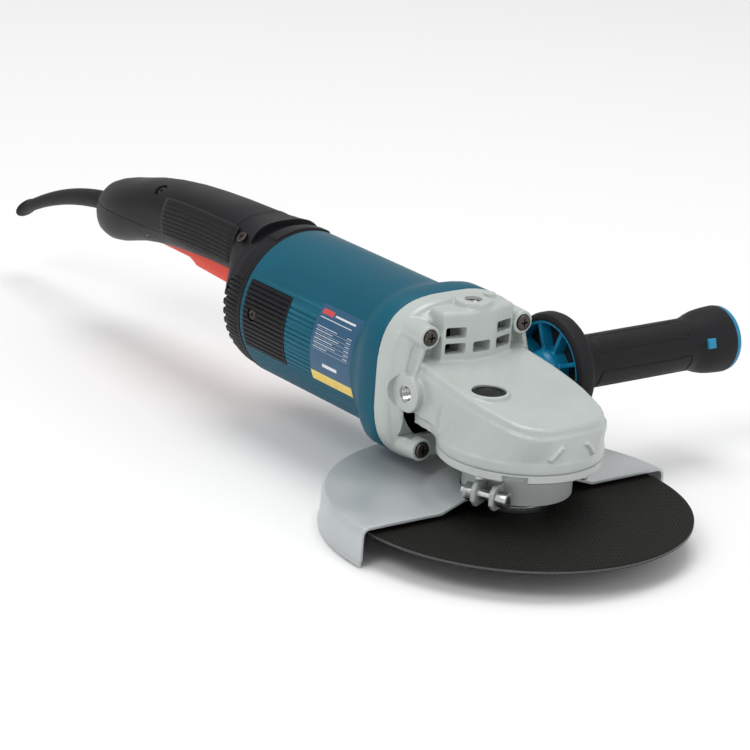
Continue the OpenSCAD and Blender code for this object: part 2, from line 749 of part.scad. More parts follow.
module side_handle_stud()
    color(steel) about_handle() {
        translate([0, 0, boss_span / 2 - socket_depth + 1]) cylinder(h = socket_depth, r = socket_d / 2);
        translate([0, 0, boss_span / 2]) cylinder(h = 40, r = 7);
    }

module handguard_wheel()
    color(blue) about_handle() difference() {
        union() {
            translate([0, 0, boss_span / 2]) cylinder(h = grip_y0 - boss_span / 2, r = 12);
            translate([0, 0, wheel_y]) difference() {
                cylinder(h = 12, r = wheel_d / 2 - 5);
                translate([0, 0, -1]) cylinder(h = 14, r = wheel_d / 2 - 10);
            }
            translate([0, 0, wheel_y + 9]) cylinder(h = 3, r = wheel_d / 2 - 6);
            for (a = [0 : 45 : 315]) rotate([0, 0, a]) translate([8, -1.5, wheel_y + 1])
                cube([wheel_d / 2 - 15, 3, 10]);
        }
        translate([0, 0, boss_span / 2 - 1]) cylinder(h = 60, r = 7);
    }

module handguard_rim()
    color(black) about_handle() rotate_extrude() difference() {
        union() {
            translate([wheel_d / 2 - 5, wheel_y - 1]) square([3.5, 14]);
            translate([wheel_d / 2 - 3.5, wheel_y + 6]) circle(3.5);
        }
        translate([0, wheel_y - 5]) square([wheel_d / 2 - 5, 30]);
    }

module side_handle_core()
    color(blue) about_handle() difference() {
        translate([0, 0, grip_y0]) cylinder(h = ring_y1 - grip_y0 - 2, r = 11);
        translate([0, 0, grip_y0 - 1]) cylinder(h = 60, r = 7);
    }

module side_grip()
    color(black) about_handle() difference() {
        union() {
            translate([0, 0, grip_y0]) cylinder(h = side_grip_len - 18, r = side_grip_d / 2);
            translate([0, 0, grip_y1 - 18 - eps])
                cylinder(h = 12, r1 = side_grip_d / 2 - 1, r2 = side_grip_d / 2 + 3.5);
            translate([0, 0, grip_y1 - 6 - 2 * eps]) cylinder(h = 18, r1 = side_grip_d / 2 + 3.5,
                r2 = side_grip_d / 2 + 5);
        }
        translate([0, 0, grip_y0 - 1]) cylinder(h = ring_y1, r = 11);
        for (y = [grip_y0 + 5, grip_y1 - 13]) translate([0, 0, y]) rotate([0, 0, 0])
            for (a = [0, 180]) rotate([0, 0, a]) translate([-4, 8, 0]) cube([8, 12, 8]);
    }

module grip_end_ring()
    color(blue) about_handle() translate([0, 0, grip_y1 + 12]) difference() {
        cylinder(h = 4, r = side_grip_d / 2 + 4.5);
        translate([0, 0, -1]) cylinder(h = 6, r = 11);
    }

module grip_inserts()
    color(blue) about_handle() for (y = [grip_y0 + 5, grip_y1 - 13])
        for (a = [0, 180]) rotate([0, 0, a]) intersection() {
            translate([-4, 11, y]) cube([8, 9, 8]);
            translate([0, 0, y]) cylinder(h = 8, r = side_grip_d / 2 + 0.4);
        }

gear_housing();
gear_housing_screws();
bearing_box();
bearing_box_screws();
spindle_ball_bearing();
spindle_top_bearing();
dust_seal();
spindle();
bevel_gear();
inner_flange();
grinding_disc();
flange_nut();
guard_shell();
guard_collar();
guard_clamp_bolt();
guard_clamp_nut();
lock_button();
lock_spring();
motor_housing();
rating_label();
field_core();
field_coils();
air_baffle();
armature_shaft();
armature_core();
armature_windings();
commutator();
cooling_fan();
bevel_pinion();
front_motor_bearing();
rear_motor_bearing();
brush_holders();
carbon_brushes();
brush_springs();
brush_cover_left();
brush_cover_right();
brush_cover_screws();
rear_bell();
bell_screws();
rear_handle_upper();
rear_handle_lower();
handle_screws();
trigger();
trigger_pin_rod();
trigger_spring();
switch_body();
cord_guard();
cord_clamp();
side_handle_stud();
handguard_wheel();
handguard_rim();
side_handle_core();
side_grip();
grip_end_ring();
grip_inserts();
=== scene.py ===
# %% [markdown]
# # A large angle grinder
# A grinder of the 230 mm class is built here piece by piece: the gear head, the motor body, the rear
# handle, the guard and disc, and the side handle. The working model is loaded first and stays the frame
# for everything: every visible piece is placed in its coordinates and rides on one of its bodies.

# %% Load the working model
import math
import bmesh
import bpy
from mathutils import Matrix, Vector


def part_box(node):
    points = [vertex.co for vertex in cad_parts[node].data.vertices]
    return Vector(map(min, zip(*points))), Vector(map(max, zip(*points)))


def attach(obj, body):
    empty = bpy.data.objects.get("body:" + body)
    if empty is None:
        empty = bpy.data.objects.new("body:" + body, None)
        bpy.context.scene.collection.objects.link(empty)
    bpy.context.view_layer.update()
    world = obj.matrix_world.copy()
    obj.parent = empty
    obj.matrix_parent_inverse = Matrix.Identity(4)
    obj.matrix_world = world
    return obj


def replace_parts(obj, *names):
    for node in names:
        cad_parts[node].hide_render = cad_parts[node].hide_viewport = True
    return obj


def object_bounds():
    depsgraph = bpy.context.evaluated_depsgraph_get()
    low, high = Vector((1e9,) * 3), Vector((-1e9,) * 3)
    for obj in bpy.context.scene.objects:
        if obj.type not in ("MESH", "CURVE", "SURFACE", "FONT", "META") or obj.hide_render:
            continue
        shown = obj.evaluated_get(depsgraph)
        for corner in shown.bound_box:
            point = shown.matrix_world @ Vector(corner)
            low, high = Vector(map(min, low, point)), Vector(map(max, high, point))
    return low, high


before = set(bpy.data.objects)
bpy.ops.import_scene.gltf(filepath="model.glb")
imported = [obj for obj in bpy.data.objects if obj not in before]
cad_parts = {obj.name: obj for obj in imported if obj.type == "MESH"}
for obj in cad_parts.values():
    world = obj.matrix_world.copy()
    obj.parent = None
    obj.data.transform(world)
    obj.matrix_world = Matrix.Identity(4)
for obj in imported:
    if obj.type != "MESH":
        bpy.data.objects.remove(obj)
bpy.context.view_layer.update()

# %% [markdown]
# All lengths in this lesson are written in millimetres, because that is how a maker thinks of them, and
# are turned into Blender's metres in one place. The main stations come from the working model's boxes,
# so that a piece always meets its neighbours: the spindle axis is Z, the motor axis runs along X.

# %% Main stations
MM = 0.001


def box_mm(node):
    low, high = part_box(node)
    return [v / MM for v in low], [v / MM for v in high]


core_low, core_high = box_mm("armature_core")
axis_z = (core_low[2] + core_high[2]) / 2
disc_high = box_mm("grinding_disc")[1]
disc_r = disc_high[0]
seat_z = disc_high[2]
body_low, body_high = box_mm("motor_housing")
body_x0, flange_x0 = body_low[0], body_high[0]
guard_low, guard_high = box_mm("guard_shell")
guard_r = -guard_low[0]
ring_x0 = flange_x0 - 22
bell_x0 = box_mm("rear_bell")[0][0]
boss_x = -58
print("motor axis at", round(axis_z, 2), "disc radius", round(disc_r, 2), "flange at", round(flange_x0, 1))

# %% [markdown]
# The camera stands in front of the nose on the label side, a little above the tool, with a long lens and
# a slight tilt of the horizon. A long lens keeps the near disc and the far handle in their true
# proportion. The camera's three axes are worked out from its angles and put straight in its matrix.

# %% Camera
azimuth, elevation, tilt = math.radians(52), math.radians(18.61), math.radians(4.12)
back = Vector((math.sin(azimuth) * math.cos(elevation), -math.cos(azimuth) * math.cos(elevation),
               math.sin(elevation)))
level = Vector((math.cos(azimuth), math.sin(azimuth), 0))
rise = back.cross(level)
right = math.cos(tilt) * level + math.sin(tilt) * rise
up = math.cos(tilt) * rise - math.sin(tilt) * level
camera_data = bpy.data.cameras.new("camera")
camera_data.lens, camera_data.sensor_width = 166.65, 36
camera_data.clip_end = 20
camera = bpy.data.objects.new("camera", camera_data)
camera.matrix_world = Matrix((
    (right.x, up.x, back.x, 1.58285), (right.y, up.y, back.y, -1.35749),
    (right.z, up.z, back.z, 0.79577), (0, 0, 0, 1)))
bpy.context.scene.collection.objects.link(camera)
bpy.context.scene.camera = camera
print("camera at", [round(v, 3) for v in camera.location])

# %% [markdown]
# Every finish starts from a few effects that more than one of them needs: a fine moulded or cast grain,
# brighter worn edges, and streaks left by a tool. Each effect is a node group with its own sockets, so a
# finish only sets the numbers. A group gives out masks and heights; the shader stays in the finish.

# %% Effect groups
def new_group(name, inputs, outputs):
    group = bpy.data.node_groups.new(name, "ShaderNodeTree")
    for label, value in inputs.items():
        socket = group.interface.new_socket(name=label, in_out="INPUT", socket_type="NodeSocketFloat")
        socket.default_value = value
    for label in outputs:
        group.interface.new_socket(name=label, in_out="OUTPUT", socket_type="NodeSocketFloat")
    return group, group.nodes.new("NodeGroupInput"), group.nodes.new("NodeGroupOutput")


def add(tree, kind, **settings):
    node = tree.nodes.new("ShaderNode" + kind)
    for key, value in settings.items():
        if hasattr(node, key):
            setattr(node, key, value)
        else:
            node.inputs[key.replace("_", " ")].default_value = value
    return node


def maths(tree, operation, a, b=None):
    node = add(tree, "Math", operation=operation)
    for socket, value in zip(node.inputs, (a, b)):
        if value is None:
            continue
        if isinstance(value, (int, float)):
            socket.default_value = value
        else:
            tree.links.new(value, socket)
    return node.outputs[0]


def blend_values(tree, factor, low, high):
    node = add(tree, "MapRange")
    tree.links.new(factor, node.inputs["Value"])
    node.inputs["To Min"].default_value = low
    node.inputs["To Max"].default_value = high
    return node.outputs[0]


def grain_group():
    group, given, result = new_group("moulded grain", {"Grain": 900.0, "Patches": 18.0},
                                     ("Height", "Mottle"))
    where = add(group, "TexCoord")
    fine = add(group, "TexNoise", Detail=4.0, Roughness=0.6)
    broad = add(group, "TexNoise", Detail=3.0, Roughness=0.5)
    group.links.new(given.outputs["Grain"], fine.inputs["Scale"])
    group.links.new(given.outputs["Patches"], broad.inputs["Scale"])
    for node in (fine, broad):
        group.links.new(where.outputs["Object"], node.inputs["Vector"])
    group.links.new(fine.outputs["Fac"], result.inputs["Height"])
    group.links.new(broad.outputs["Fac"], result.inputs["Mottle"])
    return group


def wear_group():
    group, given, result = new_group("edge wear", {"From": 0.53, "To": 0.62}, ("Edge",))
    shape = add(group, "NewGeometry")
    where = add(group, "TexCoord")
    patchy = add(group, "TexNoise", Scale=140.0, Detail=5.0, Roughness=0.7)
    group.links.new(where.outputs["Object"], patchy.inputs["Vector"])
    ramp = add(group, "MapRange")
    group.links.new(shape.outputs["Pointiness"], ramp.inputs["Value"])
    group.links.new(given.outputs["From"], ramp.inputs["From Min"])
    group.links.new(given.outputs["To"], ramp.inputs["From Max"])
    worn = maths(group, "MULTIPLY", ramp.outputs[0], patchy.outputs["Fac"])
    group.links.new(worn, result.inputs["Edge"])
    return group


def streak_group():
    group, given, result = new_group("tool streaks", {"Along": 30.0, "Across": 2500.0}, ("Streak",))
    where = add(group, "TexCoord")
    split = add(group, "SeparateXYZ")
    group.links.new(where.outputs["Object"], split.inputs[0])
    across = maths(group, "MULTIPLY", split.outputs[0], split.outputs[0])
    radius = maths(group, "SQRT", maths(group, "ADD", across,
                                        maths(group, "MULTIPLY", split.outputs[1], split.outputs[1])))
    turn = maths(group, "ARCTAN2", split.outputs[1], split.outputs[0])
    join = add(group, "CombineXYZ")
    group.links.new(maths(group, "MULTIPLY", radius, given.outputs["Across"]), join.inputs[0])
    group.links.new(turn, join.inputs[1])
    group.links.new(maths(group, "MULTIPLY", split.outputs[2], given.outputs["Along"]), join.inputs[2])
    noise = add(group, "TexNoise", Scale=1.0, Detail=3.0)
    group.links.new(join.outputs[0], noise.inputs["Vector"])
    group.links.new(noise.outputs["Fac"], result.inputs["Streak"])
    return group


GRAIN, WEAR, STREAKS = grain_group(), wear_group(), streak_group()
print("effect groups:", [g.name for g in bpy.data.node_groups])

# %% [markdown]
# A finish is one Principled shader fed by those groups: the colour drifts between two close tones, the
# edges turn to a third, the roughness follows the same mottle, and the grain drives a Bump node. One
# helper makes them all, so each finish on the tool is one line that reads like a maker's note.

# %% Finishes
def effect(tree, group, **values):
    node = tree.nodes.new("ShaderNodeGroup")
    node.node_tree = group
    for label, value in values.items():
        node.inputs[label].default_value = value
    return node


def tint(tree, mask, low, high):
    mix = add(tree, "Mix", data_type="RGBA")
    tree.links.new(mask, mix.inputs[0])
    for socket, value in ((mix.inputs[6], low), (mix.inputs[7], high)):
        if isinstance(value, tuple):
            socket.default_value = (*value, 1)
        else:
            tree.links.new(value, socket)
    return mix.outputs[2]


def finish(name, low, high, edge, rough, grain=900.0, bump=0.15, depth=0.0002, patches=18.0,
           metallic=0.0, wear=(0.53, 0.62), coat=0.0, shine=0.5):
    material = bpy.data.materials.new(name)
    material.use_nodes = True
    tree = material.node_tree
    shader = tree.nodes["Principled BSDF"]
    texture = effect(tree, GRAIN, Grain=grain, Patches=patches)
    worn = effect(tree, WEAR, From=wear[0], To=wear[1])
    contrast = add(tree, "MapRange")
    contrast.inputs["From Min"].default_value, contrast.inputs["From Max"].default_value = 0.35, 0.65
    tree.links.new(texture.outputs["Mottle"], contrast.inputs["Value"])
    colour = tint(tree, worn.outputs["Edge"], tint(tree, contrast.outputs[0], low, high), edge)
    tree.links.new(colour, shader.inputs["Base Color"])
    tree.links.new(blend_values(tree, contrast.outputs[0], rough[0], rough[1]), shader.inputs["Roughness"])
    shader.inputs["Metallic"].default_value = metallic
    shader.inputs["Specular IOR Level"].default_value = shine
    shader.inputs["Coat Weight"].default_value = coat
    shader.inputs["Coat Roughness"].default_value = 0.15
    relief = add(tree, "Bump", Strength=bump, Distance=depth)
    tree.links.new(texture.outputs["Height"], relief.inputs["Height"])
    tree.links.new(relief.outputs[0], shader.inputs["Normal"])
    return material


PAINT = finish("grey green enamel", (0.455, 0.495, 0.475), (0.51, 0.55, 0.53), (0.70, 0.73, 0.72),
               (0.30, 0.44), grain=420, bump=0.22, depth=0.0004, metallic=0.08, coat=0.2)
GUARD_PAINT = finish("silver guard paint", (0.47, 0.50, 0.51), (0.54, 0.57, 0.575), (0.66, 0.67, 0.67),
                     (0.30, 0.42), grain=700, bump=0.10, depth=0.0003, metallic=0.25)
TEAL = finish("teal housing", (0.001, 0.080, 0.128), (0.0015, 0.096, 0.152), (0.015, 0.17, 0.24),
              (0.36, 0.48), grain=1500, bump=0.20, depth=0.00015, shine=0.22)
BLACK = finish("black housing", (0.005, 0.005, 0.0068), (0.009, 0.009, 0.0115), (0.028, 0.028, 0.031),
               (0.38, 0.50), grain=1500, bump=0.30, depth=0.0002, shine=0.20)
RUBBER = finish("moulded rubber", (0.007, 0.007, 0.0085), (0.012, 0.012, 0.014), (0.03, 0.03, 0.032),
                (0.48, 0.62), grain=1100, bump=0.35, depth=0.0003, shine=0.22)
BLUE = finish("blue plastic", (0.003, 0.195, 0.360), (0.006, 0.235, 0.420), (0.04, 0.33, 0.52),
              (0.26, 0.36), grain=1200, bump=0.08, depth=0.0001)
RED = finish("red trigger plastic", (0.78, 0.045, 0.018), (0.88, 0.060, 0.022), (0.95, 0.16, 0.09),
             (0.28, 0.38), grain=1200, bump=0.08, depth=0.0001)
ZINC = finish("bright zinc", (0.52, 0.53, 0.54), (0.66, 0.67, 0.68), (0.80, 0.80, 0.80),
              (0.18, 0.32), grain=2500, bump=0.10, depth=0.0001, metallic=1.0)
DARK_STEEL = finish("oiled steel", (0.20, 0.20, 0.21), (0.30, 0.30, 0.31), (0.45, 0.45, 0.45),
                    (0.28, 0.42), grain=1800, bump=0.12, depth=0.0001, metallic=1.0)
# dark screw steel; on the grip screws its darkness is partly painted shade standing in for their recesses
BROWNED_AND_RECESS_SHADE = finish("browned steel and recess shade", (0.055, 0.048, 0.043), (0.11, 0.095, 0.085), (0.30, 0.27, 0.25),
                 (0.22, 0.38), grain=1800, bump=0.12, depth=0.0001, metallic=1.0)
LAMINATION = finish("lamination stack", (0.12, 0.12, 0.13), (0.18, 0.18, 0.19), (0.25, 0.25, 0.25),
                    (0.45, 0.60), grain=3000, bump=0.30, depth=0.0002, metallic=0.8)
COPPER = finish("enamelled copper", (0.50, 0.17, 0.06), (0.62, 0.24, 0.09), (0.75, 0.38, 0.18),
                (0.22, 0.38), grain=2600, bump=0.30, depth=0.0003, metallic=0.9)
BRASS = finish("pressed brass", (0.55, 0.38, 0.12), (0.66, 0.47, 0.17), (0.8, 0.6, 0.3),
               (0.22, 0.36), grain=1800, bump=0.10, depth=0.0001, metallic=1.0)
CARBON = finish("graphite", (0.03, 0.03, 0.03), (0.05, 0.05, 0.05), (0.09, 0.09, 0.09),
                (0.5, 0.65), grain=1800, bump=0.25, depth=0.0002)
LABEL = finish("label film", (0.010, 0.060, 0.135), (0.014, 0.075, 0.165), (0.03, 0.12, 0.22),
               (0.22, 0.30), grain=900, bump=0.03, depth=0.0001, coat=0.1, shine=0.35)
WHITE_INK = finish("white ink", (0.62, 0.66, 0.72), (0.70, 0.74, 0.78), (0.8, 0.8, 0.8),
                   (0.22, 0.30), bump=0.02)
RED_INK = finish("red ink", (0.50, 0.03, 0.03), (0.58, 0.045, 0.04), (0.7, 0.1, 0.1), (0.22, 0.30),
                 bump=0.02)
YELLOW_INK = finish("yellow ink", (0.75, 0.48, 0.04), (0.82, 0.56, 0.06), (0.9, 0.7, 0.2), (0.22, 0.30),
                    bump=0.02)
print(len(bpy.data.materials), "materials")

# %% [markdown]
# The disc is glass cloth pressed in resin and grit, so it needs its own finish: the cloth's square weave
# shows as a fine raised net in the black face, and the grit sparkles a little between the threads. Two
# wave textures at right angles make the net, and a Voronoi texture the grit.

# %% Disc finish
def disc_finish():
    material = bpy.data.materials.new("bonded abrasive")
    material.use_nodes = True
    tree = material.node_tree
    shader = tree.nodes["Principled BSDF"]
    where = add(tree, "TexCoord")
    turned = add(tree, "Mapping")
    turned.inputs["Rotation"].default_value = (0, 0, math.radians(28))
    tree.links.new(where.outputs["Object"], turned.inputs["Vector"])
    threads = []
    for direction in ("X", "Y"):
        wave = add(tree, "TexWave", wave_type="BANDS", bands_direction=direction, Scale=130.0,
                   Distortion=0.6, Detail=2.0)
        tree.links.new(turned.outputs[0], wave.inputs["Vector"])
        threads.append(wave.outputs["Fac"])
    net = maths(tree, "MAXIMUM", *threads)
    grit = add(tree, "TexVoronoi", Scale=1400.0)
    tree.links.new(where.outputs["Object"], grit.inputs["Vector"])
    sparkle = maths(tree, "LESS_THAN", grit.outputs["Distance"], 0.16)
    base = tint(tree, net, (0.0035, 0.0035, 0.003), (0.012, 0.012, 0.010))
    tree.links.new(tint(tree, sparkle, base, (0.035, 0.033, 0.029)), shader.inputs["Base Color"])
    tree.links.new(blend_values(tree, net, 0.72, 0.55), shader.inputs["Roughness"])
    shader.inputs["Specular IOR Level"].default_value = 0.14
    relief = add(tree, "Bump", Strength=0.7, Distance=0.0006)
    tree.links.new(maths(tree, "ADD", net, maths(tree, "MULTIPLY", grit.outputs["Distance"], 0.6)),
                   relief.inputs["Height"])
    tree.links.new(relief.outputs[0], shader.inputs["Normal"])
    return material


def turned_finish():
    material = finish("turned steel", (0.50, 0.50, 0.51), (0.60, 0.60, 0.61), (0.8, 0.8, 0.8),
                      (0.20, 0.34), metallic=1.0)
    tree = material.node_tree
    streaks = effect(tree, STREAKS, Along=300.0, Across=3000.0)
    relief = add(tree, "Bump", Strength=0.2, Distance=0.0001)
    tree.links.new(streaks.outputs["Streak"], relief.inputs["Height"])
    tree.links.new(relief.outputs[0], tree.nodes["Principled BSDF"].inputs["Normal"])
    return material


ABRASIVE, TURNED = disc_finish(), turned_finish()
print("disc and turned steel ready")

# %% [markdown]
# The inner pieces, such as the motor's core and the bearings, keep the working model's meshes, because
# they are plain turned or stamped parts that only show through slots. Each gets its finish here.

# %% Finishes of the carried-over pieces
CARRIED = {
    "spindle_ball_bearing": TURNED, "spindle_top_bearing": TURNED, "dust_seal": RUBBER,
    "bevel_gear": DARK_STEEL, "bevel_pinion": DARK_STEEL, "lock_spring": ZINC, "field_core": LAMINATION,
    "field_coils": COPPER, "air_baffle": BLACK, "armature_shaft": TURNED, "armature_core": LAMINATION,
    "armature_windings": COPPER, "commutator": COPPER, "cooling_fan": BLACK,
    "front_motor_bearing": ZINC, "rear_motor_bearing": ZINC, "brush_holders": BRASS,
    "carbon_brushes": CARBON, "brush_springs": ZINC, "bell_screws": ZINC, "trigger_pin_rod": ZINC,
    "trigger_spring": ZINC, "switch_body": BLACK, "cord_clamp": BLACK, "side_handle_core": BLUE,
    "side_handle_stud": ZINC,
}
for node_name, material in CARRIED.items():
    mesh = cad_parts[node_name].data
    mesh.materials.clear()
    mesh.materials.append(material)
print(len(CARRIED), "carried-over pieces finished")

# %% [markdown]
# Most pieces here are turned, pushed straight, or lofted through sections, and then have their edges
# eased. These helpers wrap the mesh operators for each of those: spin for turned pieces, extrude for
# pushed ones, bridge_loops for lofts, and bevel for the easing. `settle` turns a finished bmesh into an
# object that rides on its body and stands for the working model's nodes.

# %% Mesh helpers
def outline(points, closed=True):
    bm = bmesh.new()
    verts = [bm.verts.new([c * MM for c in p]) for p in points]
    ends = zip(verts, verts[1:] + verts[:1]) if closed else zip(verts, verts[1:])
    edges = [bm.edges.new(pair) for pair in ends]
    return bm, verts, edges


def tidy(bm):
    bmesh.ops.remove_doubles(bm, verts=bm.verts, dist=1e-6)
    bmesh.ops.recalc_face_normals(bm, faces=bm.faces)
    return bm


def eased(bm, width, limit=30, segments=3):
    tidy(bm)
    sharp = [e for e in bm.edges if len(e.link_faces) == 2
             and e.calc_face_angle(0) > math.radians(limit)]
    bmesh.ops.bevel(bm, geom=sharp, offset=width * MM, offset_type="OFFSET", affect="EDGES",
                    segments=segments, profile=0.5, clamp_overlap=True, material=-1)
    return bm


# a profile of (radius, height) points spun about Z
def turned(profile, steps=96, angle=360, closed=True):
    bm, verts, edges = outline([(r, 0, h) for r, h in profile], closed)
    bmesh.ops.spin(bm, geom=verts + edges, cent=(0, 0, 0), axis=(0, 0, 1), angle=math.radians(angle),
                   steps=steps, use_merge=angle == 360, use_duplicate=False)
    if angle != 360:
        rims = [e for e in bm.edges if len(e.link_faces) == 1]
        bmesh.ops.holes_fill(bm, edges=rims, sides=0)
    return tidy(bm)


# a flat closed outline of 3-D points pushed by a vector
def pushed(points, by):
    bm, verts, edges = outline(points)
    face = bm.faces.new(verts)
    out = bmesh.ops.extrude_face_region(bm, geom=[face])
    moved = [v for v in out["geom"] if isinstance(v, bmesh.types.BMVert)]
    bmesh.ops.translate(bm, verts=moved, vec=[c * MM for c in by])
    return tidy(bm)


# a skin through closed sections that all have the same number of points
def lofted(sections):
    bm = bmesh.new()
    rings = []
    for points in sections:
        verts = [bm.verts.new([c * MM for c in p]) for p in points]
        rings.append([bm.edges.new(pair) for pair in zip(verts, verts[1:] + verts[:1])])
    for near, far in zip(rings, rings[1:]):
        bmesh.ops.bridge_loops(bm, edges=near + far)
    for ring in (rings[0], rings[-1]):
        bmesh.ops.contextual_create(bm, geom=ring)
    return tidy(bm)


def block(low, high):
    bm = bmesh.new()
    bmesh.ops.create_cube(bm, size=1)
    size = [(b - a) * MM for a, b in zip(low, high)]
    centre = [(a + b) / 2 * MM for a, b in zip(low, high)]
    bmesh.ops.scale(bm, vec=size, verts=bm.verts)
    bmesh.ops.translate(bm, vec=centre, verts=bm.verts)
    return bm


def rod(radius, start, end, steps=48, end_radius=None):
    start, end = Vector(start) * MM, Vector(end) * MM
    way = end - start
    bm = bmesh.new()
    bmesh.ops.create_cone(bm, cap_ends=True, segments=steps, radius1=radius * MM,
                          radius2=(radius if end_radius is None else end_radius) * MM, depth=way.length)
    bmesh.ops.transform(bm, matrix=Matrix.Translation((start + end) / 2)
                        @ way.to_track_quat("Z", "Y").to_matrix().to_4x4(), verts=bm.verts)
    return bm


def moved(bm, matrix):
    bmesh.ops.transform(bm, matrix=matrix, verts=bm.verts)
    return bm


def shift(x, y, z):
    return Matrix.Translation((x * MM, y * MM, z * MM))


ALONG_X = shift(0, 0, axis_z) @ Matrix.Rotation(math.radians(90), 4, "Y")
ALONG_Y = Matrix.Rotation(math.radians(-90), 4, "X")


def gathered(parts):
    whole = bmesh.new()
    for bm in parts:
        mesh = bpy.data.meshes.new("part")
        bm.to_mesh(mesh)
        bm.free()
        whole.from_mesh(mesh)
        bpy.data.meshes.remove(mesh)
    return whole


def with_modifiers(bm, *recipes):
    mesh = bpy.data.meshes.new("work")
    bm.to_mesh(mesh)
    bm.free()
    work = bpy.data.objects.new("work", mesh)
    bpy.context.scene.collection.objects.link(work)
    for kind, settings in recipes:
        modifier = work.modifiers.new(kind, kind)
        for key, value in settings.items():
            setattr(modifier, key, value)
    bpy.context.view_layer.update()
    ready = work.evaluated_get(bpy.context.evaluated_depsgraph_get())
    result = bmesh.new()
    result.from_mesh(ready.to_mesh())
    ready.to_mesh_clear()
    bpy.data.objects.remove(work)
    bpy.data.meshes.remove(mesh)
    return result


# the body with the tools taken away, as a milling cutter would
def milled(bm, tools):
    mesh = bpy.data.meshes.new("cutter")
    cutter_bm = gathered(tools)
    bmesh.ops.recalc_face_normals(cutter_bm, faces=cutter_bm.faces)
    cutter_bm.to_mesh(mesh)
    cutter_bm.free()
    cutter = bpy.data.objects.new("cutter", mesh)
    bpy.context.scene.collection.objects.link(cutter)
    result = with_modifiers(bm, ("BOOLEAN", {"operation": "DIFFERENCE", "solver": "EXACT",
                                             "use_self": True, "object": cutter}))
    bpy.data.objects.remove(cutter)
    bpy.data.meshes.remove(mesh)
    return result


# overlapping solids melted into one skin with soft inner and outer corners, as a casting has
def cast(parts, voxel=1.0, rounds=6):
    return with_modifiers(gathered(parts),
                          ("REMESH", {"mode": "VOXEL", "voxel_size": voxel * MM}),
                          ("SMOOTH", {"factor": 0.5, "iterations": rounds}))


def settle(bm, name, body, material, nodes=(), smooth=32):
    for face in bm.faces:
        face.smooth = True
    for edge in bm.edges:
        edge.smooth = len(edge.link_faces) != 2 or edge.calc_face_angle(0) < math.radians(smooth)
    mesh = bpy.data.meshes.new(name)
    bm.to_mesh(mesh)
    bm.free()
    mesh.materials.append(material)
    piece = bpy.data.objects.new(name, mesh)
    bpy.context.scene.collection.objects.link(piece)
    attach(piece, body)
    if nodes:
        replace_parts(piece, *nodes)
    print(name, len(mesh.polygons), "faces")
    return piece


# points of a rounded square or oval: power 2 is an ellipse, higher powers are squarer
def squircle(angle, half_w, half_h, power):
    c, s = math.cos(angle), math.sin(angle)
    reach = (abs(c) ** power + abs(s) ** power) ** (-1 / power)
    return half_w * c * reach, half_h * s * reach


def ring_of(count, make):
    return [make(2 * math.pi * i / count) for i in range(count)]


print("helpers ready")

# %% [markdown]
# Screws are seen all over the tool, mostly as a flat round head with a cross in it. One head is made by
# taking two crossed bars out of an eased disc, and is then set at each place where it is needed.

# %% Screw heads
def screw_head(radius, height):
    head = eased(rod(radius, (0, 0, 0), (0, 0, height), 40), radius * 0.16)
    arm, width = radius * 0.52, radius * 0.11
    cross = [block((-arm, -width, height * 0.35), (arm, width, height + 1)),
             block((-width, -arm, height * 0.35), (width, arm, height + 1))]
    return milled(milled(head, cross[:1]), cross[1:])


def facing(place, way):
    turn = Vector(way).to_track_quat("Z", "Y").to_matrix().to_4x4()
    return shift(*place) @ turn


def screws(name, radius, height, spots, body, nodes=(), shank=0, metal=None):
    parts = []
    for place, way in spots:
        parts.append(moved(screw_head(radius, height), facing(place, way)))
        if shank:
            start = Vector(place)
            parts.append(rod(radius * 0.5, start, start - Vector(way) * shank, 24))
    return settle(gathered(parts), name, body, metal or ZINC, nodes)


spread = (box_mm("gear_housing_screws")[1][1] - box_mm("gear_housing_screws")[0][1]) / 2 - 5
head_spots = [((-53, sy * spread, axis_z + sz * spread), (1, 0, 0)) for sy in (-1, 1) for sz in (-1, 1)]
screws("head_screws", 5.2, 3.0, head_spots, "housing", ["gear_housing_screws"], shank=38, metal=BROWNED_AND_RECESS_SHADE)

# %% [markdown]
# The gear housing is an aluminium die casting: a round gear chamber, a flat-topped cover over it, a
# rounded square flange behind, bosses for the handle and a small tower that lets the motor's air out.
# On a casting all of these run into each other with fillets, so they are made as simple solids, melted
# into one skin by a voxel remesh, softened, and only then machined with crisp holes and slots.

# %% Gear housing
def roof(x):
    return 98 - (x + 46) * 14.5 / 96


# half of the cover's plan, from the middle of the nose back to the flange
PLAN = [(50.5, 0), (50.4, 9), (49.8, 16.5), (48.0, 23.5), (44.6, 29.2), (39.5, 33.6), (32, 37.0), (21, 39.8),
        (8, 42.4), (-8, 43.6), (-24, 43.8), (-38, 43.0), (-52, 41.6), (-66, 41)]


def cover_ring(grow, height):
    half = []
    for x, y in PLAN:
        nose = max(0.0, min(1.0, (x + 30) / 40))
        half.append((x + grow * nose, y + grow * (1 if y > 20 else y / 20), height(x)))
    return half + [(x, -y, z) for x, y, z in reversed(half[1:])]


def chamber_ring(radius, z):
    half = []
    for x, y in PLAN:
        away = math.hypot(x, y)
        reach = radius / away if x > -28 else 1
        half.append((x * reach, y * reach, z))
    return half + [(x, -y, z) for x, y, z in reversed(half[1:])]


